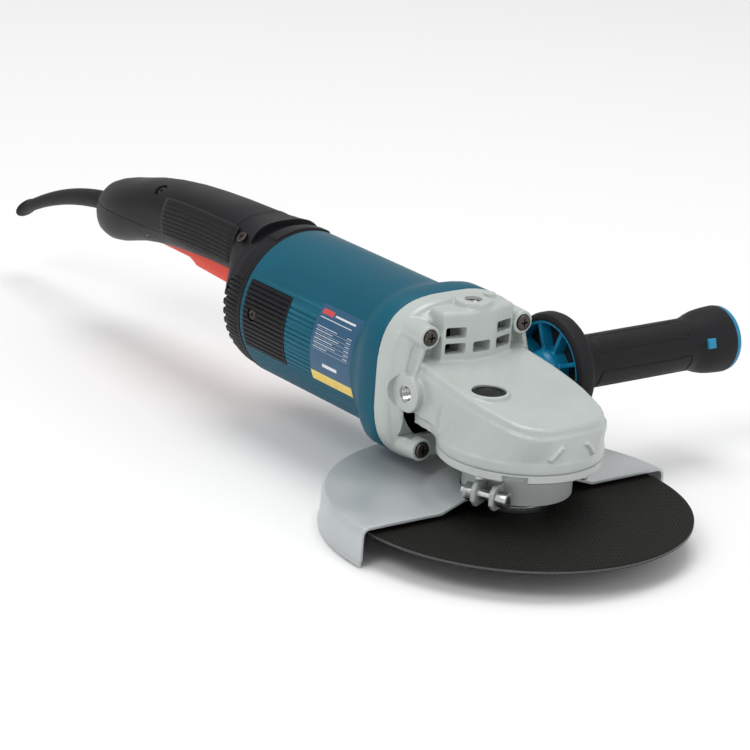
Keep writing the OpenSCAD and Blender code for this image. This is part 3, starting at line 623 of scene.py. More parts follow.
cover = lofted([chamber_ring(52.6, 57), chamber_ring(53.2, 61), cover_ring(1.7, lambda x: roof(x) - 7.2),
                cover_ring(1.5, lambda x: roof(x) - 6.0), cover_ring(0.1, lambda x: roof(x) - 5.2),
                cover_ring(-0.1, lambda x: roof(x) - 1.3), cover_ring(-1.4, roof)])
chamber = turned([(0, 53), (53, 53), (53.8, 53.8), (53.8, 60), (53.2, 60.6), (0, 60.6)], 128)
flange = lofted([[(x, *map(lambda c, o: c + o, squircle(a, half, half, 3.07), (0, axis_z)))
                  for a in [2 * math.pi * i / 96 for i in range(96)]]
                 for x, half in ((flange_x0, 55), (flange_x0 + 1, 55.2), (-73, 55.2), (-70.5, 54.2),
                                 (-69, 52.5), (-63.5, 49.5), (-62, 48))])
tower_plan = [(-66, -28.5), (-51, -28.5), (-46, -9.5), (-46, 9.5), (-51, 28.5), (-66, 28.5)]
tower = lofted([[(x, y, z) for x, y in tower_plan] for z in (84, 129.5)]
               + [[(x - 1.2, y * 0.96, 131.2) for x, y in tower_plan]])
shell_parts = [cover, chamber, flange, tower,
               rod(12.5, (boss_x, -50, axis_z), (boss_x, 50, axis_z)),
               rod(12.5, (boss_x, 0, 100), (boss_x, 0, 135.2), 48, 11.8),
               rod(4, (-66, 20, 118), (-66, 20, 134.5)),
               rod(15, (-5, -25, 78), (-5, -25, 93.0), 48, 13.4)]
for sy in (-1, 1):
    for sz in (-1, 1):
        shell_parts.append(rod(8.6, (-75, sy * spread, axis_z + sz * spread),
                               (-51.6, sy * spread, axis_z + sz * spread), 48, 7.6))
    # web from each upper screw pad down to the boss, and one from the pad in towards the tower
    web = [(-64, sy * 47, 84), (-53, sy * 49, 86), (-53, sy * 41, 114), (-64, sy * 40, 114)]
    shell_parts.append(pushed(web, (0, -sy * 3.5, 0)))
    web = [(-68, sy * 30, 112), (-60, sy * 30, 112), (-60, sy * 38, 119), (-68, sy * 38, 119)]
    shell_parts.append(pushed(web, (0, 0, 4)))
    # casting mark low on each side of the nose
    mark = [(54.0 * math.cos(math.radians(a)), sy * 54.0 * math.sin(math.radians(a)), z)
            for a, z in ((19, 63), (10, 72))]
    shell_parts.append(rod(1.5, mark[0], mark[1], 12))
    # gusset from each boss forward to the gear chamber
    gusset = [(-64, sy * 44.5, 66), (-20, sy * 44.5, 62), (-14, sy * 43, 84), (-64, sy * 44.5, 93)]
    shell_parts.append(pushed(gusset, (0, -sy * 8, 0)))
casting = cast(shell_parts, 0.85, 2)
print("casting", len(casting.faces), "faces")

# %% [markdown]
# Machining comes after casting: the gear chamber and the shaft tunnel inside, the threaded handle
# sockets with their flat faces, the hole for the lock button, the screw holes, and the vent slots.

# %% Machining the gear housing
slot_spots = [(s * 19.5, z) for s in (-1, 1) for z in (107.0, 117.6)] + [(0, 107.0)]
tools = [rod(44, (0, 0, 48), (0, 0, 73), 96), rod(9, (0, 0, 72), (0, 0, 85)),
         rod(13.5, (-80, 0, axis_z), (-22, 0, axis_z)), rod(46.5, (-90, 0, axis_z), (-66, 0, axis_z), 96),
         rod(11.3, (-5, -25, 81), (-5, -25, 110)), rod(2.55, (-5, -25, 70), (-5, -25, 90), 24),
         rod(5.9, (boss_x, -60, axis_z), (boss_x, -32, axis_z)),
         rod(5.9, (boss_x, 32, axis_z), (boss_x, 60, axis_z)),
         rod(5.9, (boss_x, 0, 117.5), (boss_x, 0, 140)),
         rod(13.2, (boss_x, -50, axis_z), (boss_x, -62, axis_z)),
         rod(13.2, (boss_x, 50, axis_z), (boss_x, 62, axis_z)),
         block((-67.5, -25.5, 101), (-54, -10.5, 123)), block((-67.5, 10.5, 101), (-54, 25.5, 123)),
         block((-67.5, -47, 46), (-57, -16, 65)), block((-67.5, 16, 46), (-57, 47, 65))]
for x, y, z in [(-53, sy * spread, axis_z + sz * spread) for sy in (-1, 1) for sz in (-1, 1)]:
    tools.append(rod(2.7, (-90, y, z), (-54, y, z), 20))
    tools.append(rod(5.7, (-54.2, y, z), (-40, y, z), 32))
for y, z in slot_spots:
    slot_tool = block((-60, y - 7.0, z - 3.6), (-40, y + 7.0, z + 3.6))
    tools.append(eased(slot_tool, 1.4))
settle(milled(casting, tools), "gear_housing_casting", "housing", PAINT, ["gear_housing"], smooth=38)

# %% [markdown]
# The sockets take an M14 stud. A thread catches the light as fine bright rings inside the hole, so each
# socket gets a thin threaded sleeve: a zigzag profile spun about the socket's axis.

# %% Threaded sleeves in the sockets
def thread_profile(radius, depth, length, pitch=2.0):
    points, h = [], 0.0
    while h < length:
        points += [(radius, h), (radius + depth, h + pitch / 2)]
        h += pitch
    return points + [(radius, h)]


def sleeve():
    inner = thread_profile(5.0, 0.85, 14)
    return turned(inner + [(5.89, inner[-1][1]), (5.89, 0)], 48)


sleeves = [moved(sleeve(), shift(boss_x, -34.2, axis_z) @ Matrix.Rotation(math.radians(90), 4, "X")
                 @ shift(0, 0, 1)),
           moved(sleeve(), shift(boss_x, 0, 119.5))]
settle(gathered(sleeves), "socket_threads", "housing", TURNED)

# %% [markdown]
# Under the chamber a second casting carries the spindle's bearing. It is turned, so a profile spun about
# the spindle axis gives its flange, its neck and the groove between them; a notch in the edge is milled.

# %% Bearing box
carrier = turned([(16, 25), (32, 25), (33, 26), (33, 44.5), (34.5, 47), (52, 47), (53.3, 48.2), (53.3, 52.6),
                  (52.9, 53), (20, 53), (20, 36), (16, 36)], 128)
notch = moved(block((47, -8, 45), (58, 8, 52)), Matrix.Rotation(math.radians(-42), 4, "Z"))
settle(milled(carrier, [notch]), "bearing_carrier", "housing", PAINT, ["bearing_box"])
under_spots = [((49 * math.cos(math.radians(a)) * 0.955, 49 * math.sin(math.radians(a)) * 0.955, 47), (0, 0, -1))
               for a in (20, 110, 200, 290)]
screws("bearing_carrier_screws", 3.5, 3.0, under_spots, "housing", ["bearing_box_screws"], shank=12)

# %% [markdown]
# The spindle shows its threaded end below the clamp nut. The two clamping flanges are turned pieces: the
# upper one centres the disc, the lower one is a nut with pin holes for the face spanner.

# %% Spindle and flanges
tip = [(0, 0), (5.6, 0)] + [(r, h + 0.8) for r, h in thread_profile(6.1, 0.85, 18)]
spindle_bm = turned(tip + [(7, 21), (8.5, 21), (8.5, 69), (6, 69), (6, 83.4), (5.4, 84), (0, 84)], 64)
settle(spindle_bm, "threaded_spindle", "spindle_set", TURNED, ["spindle"])
upper = turned([(7, 12.6), (11, 12.6), (11, 15), (20.5, 15), (20.5, 19.6), (19.2, 21), (7, 21)], 96)
settle(eased(upper, 0.3), "upper_flange", "spindle_set", TURNED, ["inner_flange"])
lower = turned([(7.05, 5), (17, 5), (20.5, 8), (20.5, 12), (15, 12), (14.5, 11.5), (7.05, 11.5)], 96)
pins = [rod(2.5, (15 * math.cos(a), 15 * math.sin(a), 3), (15 * math.cos(a), 15 * math.sin(a), 9.5), 24)
        for a in [math.radians(45 + 90 * k) for k in range(4)]]
settle(milled(eased(lower, 0.4), pins), "clamp_nut", "spindle_set", TURNED, ["flange_nut"])

# %% [markdown]
# The disc is a thin pressed wheel with slightly worn corners and a metal ring round its bore. It is spun
# from a flat profile, with rounded corners at the rim that let its thickness be read.

# %% Grinding disc
disc_bm = turned([(13.5, 12), (disc_r - 0.6, 12), (disc_r, 12.5), (disc_r, seat_z - 0.5),
                  (disc_r - 0.6, seat_z), (13.5, seat_z)], 192)
settle(disc_bm, "cutting_disc", "spindle_set", ABRASIVE, ["grinding_disc"])
rim = turned([(disc_r - 0.62, 12.5), (disc_r + 0.02, 12.7), (disc_r + 0.02, 14.3), (disc_r - 0.62, 14.5)], 192)
settle(rim, "disc_worn_rim", "spindle_set", CARBON)
bore_ring = turned([(11.2, 11.9), (15, 11.9), (15, 12.05), (11.9, 12.05), (11.9, 14.95), (15, 14.95),
                    (15, 15.1), (11.2, 15.1)], 96)
settle(bore_ring, "disc_bore_ring", "spindle_set", ZINC)

# %% [markdown]
# The guard is one pressed sheet: a flat half ring with a raised cone at the middle, a deep skirt round
# the edge and a rolled hem. Its profile is spun as an open line over half a turn, the sheet is given its
# thickness by solidify, and the cut edges are eased.

# %% Guard
plate_z = guard_high[2] - 7
hem_z = plate_z - 23.5
line = [(36, plate_z + 6), (44, plate_z + 5.3), (56, plate_z + 1.2), (62, plate_z - 1), (100, plate_z - 1),
        (guard_r - 5.5, plate_z - 1), (guard_r - 2.8, plate_z - 1.9), (guard_r - 1.2, plate_z - 4.5),
        (guard_r - 1, plate_z - 8), (guard_r - 1, plate_z - 21)]
line += [(guard_r - 1 + 1.2 * math.sin(math.radians(a)) * 0.9, hem_z + 1.4 * math.cos(math.radians(a)))
         for a in (30, 90, 150, 180)]
sheet_bm, sheet_verts, sheet_edges = outline([(r, 0, h) for r, h in line], closed=False)
bmesh.ops.spin(sheet_bm, geom=sheet_verts + sheet_edges, cent=(0, 0, 0), axis=(0, 0, 1),
               angle=math.radians(360), steps=192, use_merge=True, use_duplicate=False)
bmesh.ops.bisect_plane(sheet_bm, geom=sheet_bm.verts[:] + sheet_bm.edges[:] + sheet_bm.faces[:],
                       plane_co=(0.003, 0, 0), plane_no=(1, 0, 0), clear_outer=True)
tidy(sheet_bm)
guard_bm = with_modifiers(sheet_bm, ("SOLIDIFY", {"thickness": 0.0019, "offset": 0.0}),
                          ("BEVEL", {"width": 0.0004, "segments": 2, "limit_method": "ANGLE",
                                     "angle_limit": math.radians(50)}))
settle(guard_bm, "guard_pressing", "guard", GUARD_PAINT, ["guard_shell"])

# %% [markdown]
# A split steel band clamps the guard on the neck. The band is a spun tube left open at the ears; each
# ear is a small rounded plate, and a bolt with a hexagon nut draws them together.

# %% Guard clamp
ear = math.radians(-66)
gap_angle = math.degrees(2 * math.asin(5 / 35.5))
band = moved(turned([(33.1, 26), (35.5, 26), (35.5, 44), (33.1, 44)], 120, 360 - gap_angle),
             Matrix.Rotation(ear + math.radians(gap_angle / 2), 4, "Z"))
EAR = Matrix.Rotation(ear, 4, "Z")


def ear_plate(side):
    y = side * 6.5
    corners = [(34, 24.5), (45, 24.5), (49.5, 29), (49.5, 37), (45, 41), (34, 41)]
    return moved(pushed([(r, y - 1.5, h) for r, h in corners], (0, 3, 0)), EAR)


settle(eased(gathered([band, ear_plate(-1), ear_plate(1)]), 0.45), "guard_collar_band", "guard", PAINT,
       ["guard_collar"])


def on_bolt(y):
    return EAR @ shift(43, y, 33) @ ALONG_Y


SHANK_R = 3.4
head = moved(eased(rod(5.6, (0, 0, 0), (0, 0, 8), 48), 0.9), on_bolt(8.05))
shank = moved(rod(SHANK_R, (0, 0, 0), (0, 0, 25), 24), on_bolt(-16.5))
socket = moved(rod(2.6, (0, 0, 4), (0, 0, 9), 6), on_bolt(8.05))
settle(milled(gathered([head]), [socket]), "guard_bolt_head", "guard", ZINC, ["guard_clamp_bolt"])
settle(gathered([shank]), "guard_bolt_shank", "guard", ZINC)
thread = rod(SHANK_R + 0.05, (0, 0, -1), (0, 0, 7), 24)
nut = moved(milled(eased(rod(6.4, (0, 0, 0), (0, 0, 6), 6), 0.6), [thread]), on_bolt(-14))
settle(nut, "guard_hex_nut", "guard", ZINC, ["guard_clamp_nut"])

# %% [markdown]
# The spindle lock is a black button with a shallow domed top and a narrow rim. It is spun in one piece
# with the pin that reaches down to the gear, and slides with its own body.

# %% Lock button
button = turned([(0, 71), (2.5, 71), (2.5, 85.5), (11, 85.5), (11, 91.6), (10.2, 92.6), (9.2, 92.7),
                 (8.4, 92.0), (5, 93.0), (0, 93.4)], 64)
settle(moved(button, shift(-5, -25, 0)), "lock_cap", "lock_body", BLACK, ["lock_button"], smooth=40)

# %% [markdown]
# The motor housing is a glass-filled nylon tube that opens into a rounded square flange where it is
# screwed to the gear housing. It is lofted through sections whose outline changes from a circle to a
# rounded square, hollowed by a second, narrower loft, and then cut for the brush doors.

# %% Motor housing
COUNT = 720


# depth of the fine lengthwise grooves at an angle round the tube, measured up from the side
def groove(angle, depth, low=-64, high=25):
    side = math.degrees(math.atan2(math.sin(angle), abs(math.cos(angle))))
    if not low < side < high:
        return 0.0
    fade = min(1.0, (side - low) / 3, (high - side) / 3)
    return depth * fade * max(0.0, math.cos(math.radians(side * 100))) ** 2


def tube_section(x, half, power, depth=0.0, low=-64, high=25):
    def point(angle):
        reach = half - groove(angle, depth, low, high)
        return squircle(angle, reach, reach, power)
    return [(x, y, axis_z + z) for y, z in ring_of(COUNT, point)]


outer = [(body_x0, 51.2, 2), (body_x0 + 0.8, 52, 2), (body_x0 + 1.5, 52, 2), (body_x0 + 3, 52, 2, 0.75),
         (ring_x0 - 12, 52, 2, 0.75), (ring_x0 - 10, 52, 2), (ring_x0 - 8, 52, 2),
         (ring_x0 - 3, 52.6, 2.1), (ring_x0 + 1.5, 54.0, 2.6), (ring_x0 + 4, 54.8, 2.95),
         (ring_x0 + 6, 55.2, 3.07), (flange_x0 - 1, 55.2, 3.07), (flange_x0 - 0.15, 54.6, 3.07)]
tube = lofted([tube_section(*s) for s in outer])
inside = lofted([[(x, y, axis_z + z) for y, z in ring_of(144, lambda a: squircle(a, 47.5, 47.5, 2))]
                 for x in (body_x0 - 2, flange_x0 + 2)])


# a patch of a tube about the motor axis; angles climb from the side the patch is on
def patch(x0, x1, r_in, r_out, a0, a1, side, steps=24):
    bm = turned([(r_in, x0), (r_out, x0), (r_out, x1), (r_in, x1)], steps, a1 - a0)
    start = 270 - a1 if side < 0 else 90 + a0
    return moved(bm, ALONG_X @ Matrix.Rotation(math.radians(start), 4, "Z"))


cover_x0, cover_x1 = body_x0 + 4, body_x0 + 52
doors = [eased(patch(cover_x0, cover_x1, 49.2, 56, -25, 29, s), 3, 60, 4) for s in (-1, 1)]
windows = [patch(cover_x0 + 5, cover_x1 - 5, 44, 50, -19, 23, s) for s in (-1, 1)]
label_bed = [eased(patch(ring_x0 - 54.6, ring_x0 - 8.4, 51.75, 56, -24.6, 36.6, -1), 1.5, 60, 3)]
motor_bm = milled(milled(milled(tube, [inside]), windows), doors + label_bed)
print("motor housing", len(motor_bm.faces), "faces")

# %% [markdown]
# The flange of the tube takes the four long screws of the gear housing, so it is drilled last.

# %% Screw holes of the motor housing
holes = [rod(2.7, (flange_x0 - 18, sy * spread, axis_z + sz * spread), (flange_x0 + 2, sy * spread,
             axis_z + sz * spread), 20) for sy in (-1, 1) for sz in (-1, 1)]
settle(milled(motor_bm, holes), "motor_shell", "housing", TEAL, ["motor_housing"], smooth=40)

# %% [markdown]
# Each brush sits behind a black ribbed door, held by one screw in a dished recess. A grid is laid over
# the opening, bent to the tube's radius and lifted into ribs, and solidify gives the door its wall.

# %% Brush doors
def brush_door(side, name, node):
    bm = bmesh.new()
    bmesh.ops.create_grid(bm, x_segments=48, y_segments=150, size=0.5)
    for vert in bm.verts:
        along, across = vert.co.x + 0.5, vert.co.y + 0.5
        side_angle = -24.5 + across * 53
        border = min(1, 30 * min(along, 1 - along), 30 * min(across, 1 - across))
        radius = 52.35 - 0.95 * border * max(0, math.cos(math.radians(side_angle * 100))) ** 2
        angle = math.radians(side_angle)
        vert.co = ((cover_x0 + 0.35 + along * 47.3) * MM, side * radius * math.cos(angle) * MM,
                   (axis_z + radius * math.sin(angle)) * MM)
    door = with_modifiers(tidy(bm), ("SOLIDIFY", {"thickness": 0.0026, "offset": -1.0}))
    if max(v.co.y * side for v in door.verts) > 0.0531:
        door.free()
        door = with_modifiers(tidy(bm), ("SOLIDIFY", {"thickness": 0.0026, "offset": 1.0}))
    screw_x, screw_z = cover_x0 + 10, axis_z + 3
    dish = rod(4.4, (screw_x, side * 50.3, screw_z), (screw_x, side * 60, screw_z), 48, 5.4)
    settle(milled(tidy(door), [dish]), name, "housing", BLACK, [node], smooth=40)


brush_door(-1, "brush_door_left", "brush_cover_left")
brush_door(1, "brush_door_right", "brush_cover_right")
door_spots = [((cover_x0 + 10, s * 50.2, axis_z + 3), (0, s, 0)) for s in (-1, 1)]
screws("brush_door_screws", 3.8, 1.4, door_spots, "housing", ["brush_cover_screws"], shank=9, metal=BROWNED_AND_RECESS_SHADE)

# %% [markdown]
# The rating label is a printed film let flush into the tube. Its print is only a generic layout: pale
# bars where the data stands, a small red block and a yellow strip, with no lettering at all.

# %% Rating label
def film(x0, x1, a0, a1, lift, name, material):
    bm = patch(ring_x0 + x0, ring_x0 + x1, 51.76, 51.98 + lift, a0, a1, -1)
    return settle(bm, name, "housing", material)


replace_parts(film(-54, -9, -24, 36, 0, "label_base", LABEL), "rating_label")
heading = [(-37, -15, 29.4, 1.5), (-51, -17, 25.6, 0.6)]
rows = [(x0, x1, 19 - 3.1 * k, 0.45) for k, end in enumerate((-29, -33, -25, -31, -27, -36))
        for x0, x1 in ((-51, end), (-18, -13))]
rules = [(-51, -13, 17.6 - 3.1 * k, 0.14) for k in range(6)]
bars = [patch(ring_x0 + x0, ring_x0 + x1, 51.9, 52.03, a, a + w, -1)
        for x0, x1, a, w in heading + rows + rules + [(-40, -24, -9.5, 2.6)]]
settle(gathered(bars), "label_bars", "housing", WHITE_INK)
film(-51, -39, 28.4, 32.4, 0.04, "label_red_block", RED_INK)
film(-54, -9, -24, -16, 0.04, "label_yellow_strip", YELLOW_INK)

# %% [markdown]
# The black end bell closes the rear of the motor and takes in the cooling air. It is lofted like the tube,
# with the same fine ribs, which run out as scallops over its rear edge. A shoulder blends its upper part
# into the handle, and slots are cut in the lower half of the rear face.

# %% End bell
bell_rings = [(body_x0 - 0.3, 51.0), (body_x0 - 1.2, 52.0), (body_x0 - 3, 52.0), (body_x0 - 3.6, 51.4, 2, 0.2),
              (body_x0 - 4.4, 51.6, 2, 0.8), (body_x0 - 16, 50.8, 2, 0.9), (body_x0 - 19.5, 50.0, 2, 1.7),
              (body_x0 - 21.8, 48.6, 2, 2.0), (bell_x0 + 0.6, 46.6, 2, 1.4), (bell_x0, 45.0, 2, 0.4)]
bell = lofted([tube_section(r[0], r[1], 2, r[3] if len(r) > 3 else 0.0, -80, 34) for r in bell_rings])
cup = [rod(47, (bell_x0 + 3, 0, axis_z), (body_x0 + 3, 0, axis_z), 128)]
vents = []
for k in range(-6, 7):
    gap = eased(block((bell_x0 - 2, -2.2, 22), (bell_x0 + 6, 2.2, 42)), 1.0)
    vents.append(moved(gap, shift(0, 0, axis_z) @ Matrix.Rotation(math.radians(180 + k * 12), 4, "X")))
settle(milled(milled(bell, cup), vents), "end_bell", "housing", BLACK, ["rear_bell"], smooth=40)
bumps = []
for k in range(13):
    for s in (-1, 1):
        a = math.radians(-72 + 8.2 * k)
        bump = eased(block((bell_x0 - 0.8, -2.6, -2.2), (bell_x0 + 6, 2.6, 2.8)), 1.6, 50, 4)
        spot = shift(0, s * 46.3 * math.cos(a), axis_z + 46.3 * math.sin(a))
        bumps.append(moved(bump, spot @ Matrix.Rotation(a if s > 0 else math.pi - a, 4, "X") @
                           Matrix.Rotation(-math.pi / 2, 4, "X")))
settle(gathered(bumps), "bell_edge_bumps", "housing", BLACK)


# the bell's outline above a level, seen from the grip's centre line
def shoulder_ring(x, radius, floor_z, centre=106.5):
    points = []
    for k in range(96):
        a = 2 * math.pi * k / 96
        dy, dz = math.cos(a), math.sin(a)
        b = dz * (centre - axis_z)
        reach = -b + math.sqrt(b * b - (centre - axis_z) ** 2 + radius ** 2)
        if dz < -0.05:
            reach = min(reach, (centre - floor_z) / -dz)
        points.append((x, dy * reach, centre + dz * reach))
    return points


# %% [markdown]
# The rear handle is two shells that meet along a seam below its middle. Its form is lofted through oval
# sections taken along the grip: tall at the bell, slim under the palm, and full again at the heel. The
# loft is halved with bisect_plane, and each half gets a small bevel at the seam.

# %% Rear handle
STATIONS = [(-264.5, 107.5, 30.5, 24.0, 2.9), (-268, 107.3, 30.0, 24.0, 2.7), (-285, 107.0, 28.4, 23.2, 2.5),
            (-300, 107.2, 27.4, 23.4, 2.4), (-330, 106.6, 26.4, 23.4, 2.4), (-355, 105.3, 25.8, 23.4, 2.4),
            (-380, 103.3, 25.4, 23.5, 2.4), (-405, 100.0, 25.3, 23.6, 2.3), (-425, 96.4, 25.4, 23.6, 2.2),
            (-440, 92.0, 25.4, 23.6, 2.2), (-455, 88.0, 24.6, 24.2, 2.1), (-466, 85.2, 22.6, 23.6, 2.0),
            (-475, 83.6, 19.4, 21.4, 2.0), (-481, 83.0, 15.6, 17.6, 2.0), (-485, 82.8, 11.4, 12.8, 2.0),
            (-486.8, 82.8, 6.5, 7.4, 2.0)]


def between(x):
    pairs = zip(STATIONS, STATIONS[1:])
    for front, rear in pairs:
        if front[0] >= x >= rear[0]:
            t = (front[0] - x) / (front[0] - rear[0])
            return [a + (b - a) * t for a, b in zip(front, rear)]
    return STATIONS[-1] if x < STATIONS[-1][0] else STATIONS[0]


def grip_point(x, angle, lift=0.0):
    _, centre, half_w, half_h, power = between(x)
    y, z = squircle(angle, half_w + lift, half_h + lift, power)
    return x, y, centre + z


def grip_form():
    bm = lofted([ring_of(96, lambda a: grip_point(s[0], a)) for s in STATIONS])
    return with_modifiers(bm, ("SMOOTH", {"factor": 0.4, "iterations": 3}))


def seam_z(x):
    return 92.5 + (x + 380) * 0.02


def shell_half(upper):
    bm = grip_form()
    sign = 1 if upper else -1
    bmesh.ops.bisect_plane(bm, geom=bm.verts[:] + bm.edges[:] + bm.faces[:],
                           plane_co=(-0.380, 0, 0.0925 + sign * 0.00016), plane_no=(-0.02 * sign, 0, sign),
                           clear_inner=True)
    cut = [e for e in bm.edges if len(e.link_faces) == 1]
    bmesh.ops.holes_fill(bm, edges=cut, sides=0)
    tidy(bm)
    seam = [e for e in bm.edges if len(e.link_faces) == 2 and e.calc_face_angle(0) > math.radians(50)
            and abs(e.verts[0].co.z / MM - seam_z(e.verts[0].co.x / MM)) < 1]
    bmesh.ops.bevel(bm, geom=seam, offset=0.0008, offset_type="OFFSET", affect="EDGES", segments=3,
                    profile=0.5, clamp_overlap=True, material=-1)
    return bm


print("grip stations", len(STATIONS))

# %% [markdown]
# The shoulder is what the hand sees as one flowing form between bell and grip: a loft from the bell's
# upper outline to the grip's oval, with a raised lip along the seam to the motor housing.

# %% Shoulder
def mixed(first, second, t, x):
    return [(x, a[1] + (b[1] - a[1]) * t, a[2] + (b[2] - a[2]) * t) for a, b in zip(first, second)]


full = shoulder_ring(bell_x0 + 4, 49.6, 84)
slim = ring_of(96, lambda a: grip_point(-291, a, 0.5))
crown = [shoulder_ring(body_x0 - 3, 51.7, 100), shoulder_ring(body_x0 - 14, 51.2, 100),
         shoulder_ring(bell_x0 + 6, 50.2, 96)]
shoulder = lofted(crown + [mixed(full, slim, t, x) for t, x in
                           ((0.0, bell_x0 + 2), (0.05, bell_x0), (0.17, bell_x0 - 3.5),
                            (0.36, bell_x0 - 8), (0.58, bell_x0 - 13), (0.78, bell_x0 - 18),
                            (0.93, bell_x0 - 23), (1.0, bell_x0 - 27))])
lip = [patch(body_x0 - 12, body_x0 - 2.5, 49.5, 53.2, 64, 116, 1)]
shoulder_skin = cast([shoulder] + [eased(part, 0.8, 50) for part in lip], 0.8, 3)
blind = [rod(5.2, (-276.5, s * 28.8, 119.5), (-276.5, s * 40, 131.5), 40, 6.4) for s in (-1, 1)]
settle(milled(shoulder_skin, blind), "bell_shoulder", "housing", BLACK)

# %% [markdown]
# The upper shell is one smooth half with a dish for a screw on each flank. The lower shell has the long
# slot that the trigger moves in.

# %% Handle shells
def side_dish(x, angle, radius, depth=2.2):
    _, y, z = grip_point(x, math.radians(angle))
    outwards = Vector((0, math.cos(math.radians(angle)), math.sin(math.radians(angle))))
    low = Vector((x, y, z)) - outwards * depth
    return rod(radius * 0.8, low, low + outwards * (depth + 3), 40, radius * 1.25)


dishes = [side_dish(-397, a, 5.2, 3.0) for a in (52, 128)]
cavity = [block((-414, -11, 60), (-271, 11, 91)), rod(7.4, (-500, 0, 84.6), (-455, 0, 86))]
settle(milled(shell_half(True), dishes), "grip_upper", "housing", BLACK, ["rear_handle_upper"])
settle(milled(shell_half(False), cavity), "grip_lower", "housing", BLACK, ["rear_handle_lower"])
dish_screws = []
for angle in (52, 128):
    _, y, z = grip_point(-397, math.radians(angle))
    way = (0, math.cos(math.radians(angle)), math.sin(math.radians(angle)))
    dish_screws.append(((-397, y - way[1] * 3, z - way[2] * 3), way))
for s in (-1, 1):
    dish_screws.append(((-276.5, s * 28.7, 119.4), (0, s * 0.68, 0.73)))
# the grip screws are made dark so that their dishes read dark: painted recess shade on top of the real dishes
screws("grip_screws", 3.8, 1.2, dish_screws, "housing", ["handle_screws"], shank=5, metal=BROWNED_AND_RECESS_SHADE)

# %% [markdown]
# A softer ribbed panel is let into each side of the grip. A grid is laid over the handle's own surface,
# its cross lines are lifted into fine ridges, and solidify gives it a wall that sinks into the shell.

# %% Grip panels
def grip_panel(side, name):
    bm = bmesh.new()
    bmesh.ops.create_grid(bm, x_segments=40, y_segments=140, size=0.5)
    for vert in bm.verts:
        along, across = vert.co.x + 0.5, vert.co.y + 0.5
        x = -286 - along * 93
        angle = math.radians(-24 + across * 62)
        border = min(1, 25 * min(along, 1 - along), 18 * min(across, 1 - across))
        ridge = 1.5 * abs(math.sin(math.pi * across * 9)) ** 0.7 * border
        px, py, pz = grip_point(x, angle, 0.15 + ridge)
        vert.co = (px * MM, side * py * MM, pz * MM)
    panel = with_modifiers(tidy(bm), ("SOLIDIFY", {"thickness": 0.0014, "offset": -side}))
    settle(tidy(panel), name, "housing", RUBBER)


grip_panel(-1, "grip_panel_left")
grip_panel(1, "grip_panel_right")

# %% [markdown]
# The paddle trigger hangs under the handle on a pin near its rear end. Its side view is drawn once and
# pushed across, and the edges are eased so that it looks moulded.

# %% Trigger
paddle_side = [(-409, 77.5), (-366, 77.2), (-361, 75.4), (-357, 73.4), (-312, 71.5), (-294, 69.8),
               (-291, 71.5), (-290, 86), (-380, 86), (-400, 90), (-409, 90)]
paddle = pushed([(x, -10, z) for x, z in paddle_side], (0, 20, 0))
pin_hole = rod(2.05, (-405, -12, 86), (-405, 12, 86), 32)
settle(milled(eased(paddle, 1.8, 20, 4), [pin_hole]), "paddle_trigger", "trigger_body", RED, ["trigger"])

# %% [markdown]
# A rubber sleeve guards the cord where it leaves the handle. It hangs in a gentle arc and ends in a
# rolled bead. Rings are set square to the arc and bridged, and the rings come back inside to form the bore.

# %% Cord guard
def sleeve_line(t):
    # the sleeve's centre line: an arc of 300 mm radius that starts almost level
    turn = math.radians(4 + 25 * t)
    x = 8 - 487 + 300 * (math.sin(math.radians(4)) - math.sin(turn))
    z = axis_z + 7.5 + 300 * (math.cos(turn) - math.cos(math.radians(4)))
    return x, z, turn


def sleeve_ring(t, radius):
    x, z, turn = sleeve_line(t)
    return [(x + radius * math.sin(a) * math.sin(turn), radius * math.cos(a),
             z + radius * math.sin(a) * math.cos(turn)) for a in [2 * math.pi * k / 48 for k in range(48)]]


sleeve_rings = [(0.0, 7.2), (0.05, 7.2), (0.3, 7.2), (0.5, 7.15), (0.7, 7.1), (0.85, 7.1), (0.93, 7.2),
                (0.955, 7.6), (0.968, 8.7), (0.98, 9.1), (0.992, 8.9), (0.999, 8.0), (0.999, 4.6),
                (0.9, 4.5), (0.0, 4.5)]
steps = []
for (t0, r0), (t1, r1) in zip(sleeve_rings, sleeve_rings[1:]):
    count = max(1, int(abs(t1 - t0) * 40))
    steps += [(t0 + (t1 - t0) * k / count, r0 + (r1 - r0) * k / count) for k in range(count)]
steps.append(sleeve_rings[-1])
settle(lofted([sleeve_ring(t, r) for t, r in steps]), "cord_sleeve", "housing", RUBBER, ["cord_guard"],
       smooth=50)

# %% [markdown]
# The side handle screws in the head's right boss. From the head outwards it has a blue hub with a ribbed
# hand shield, a rubber rim round the shield, the rubber grip with a flared end, and a blue end ring.
# Every piece is turned about the handle's own axis; the shield's spokes are set round it. A black disc
# behind the spokes is painted shade that darkens the shield's open pockets.

# %% Hand shield
HANDLE = shift(boss_x, 0, axis_z) @ ALONG_Y
hub = turned([(7, 50), (11, 50), (12, 51), (12, 60), (13.5, 64), (13.5, 81), (7, 81)], 72)
band_ring = turned([(30.3, 66), (32.5, 66), (32.5, 78), (30.3, 78)], 96)
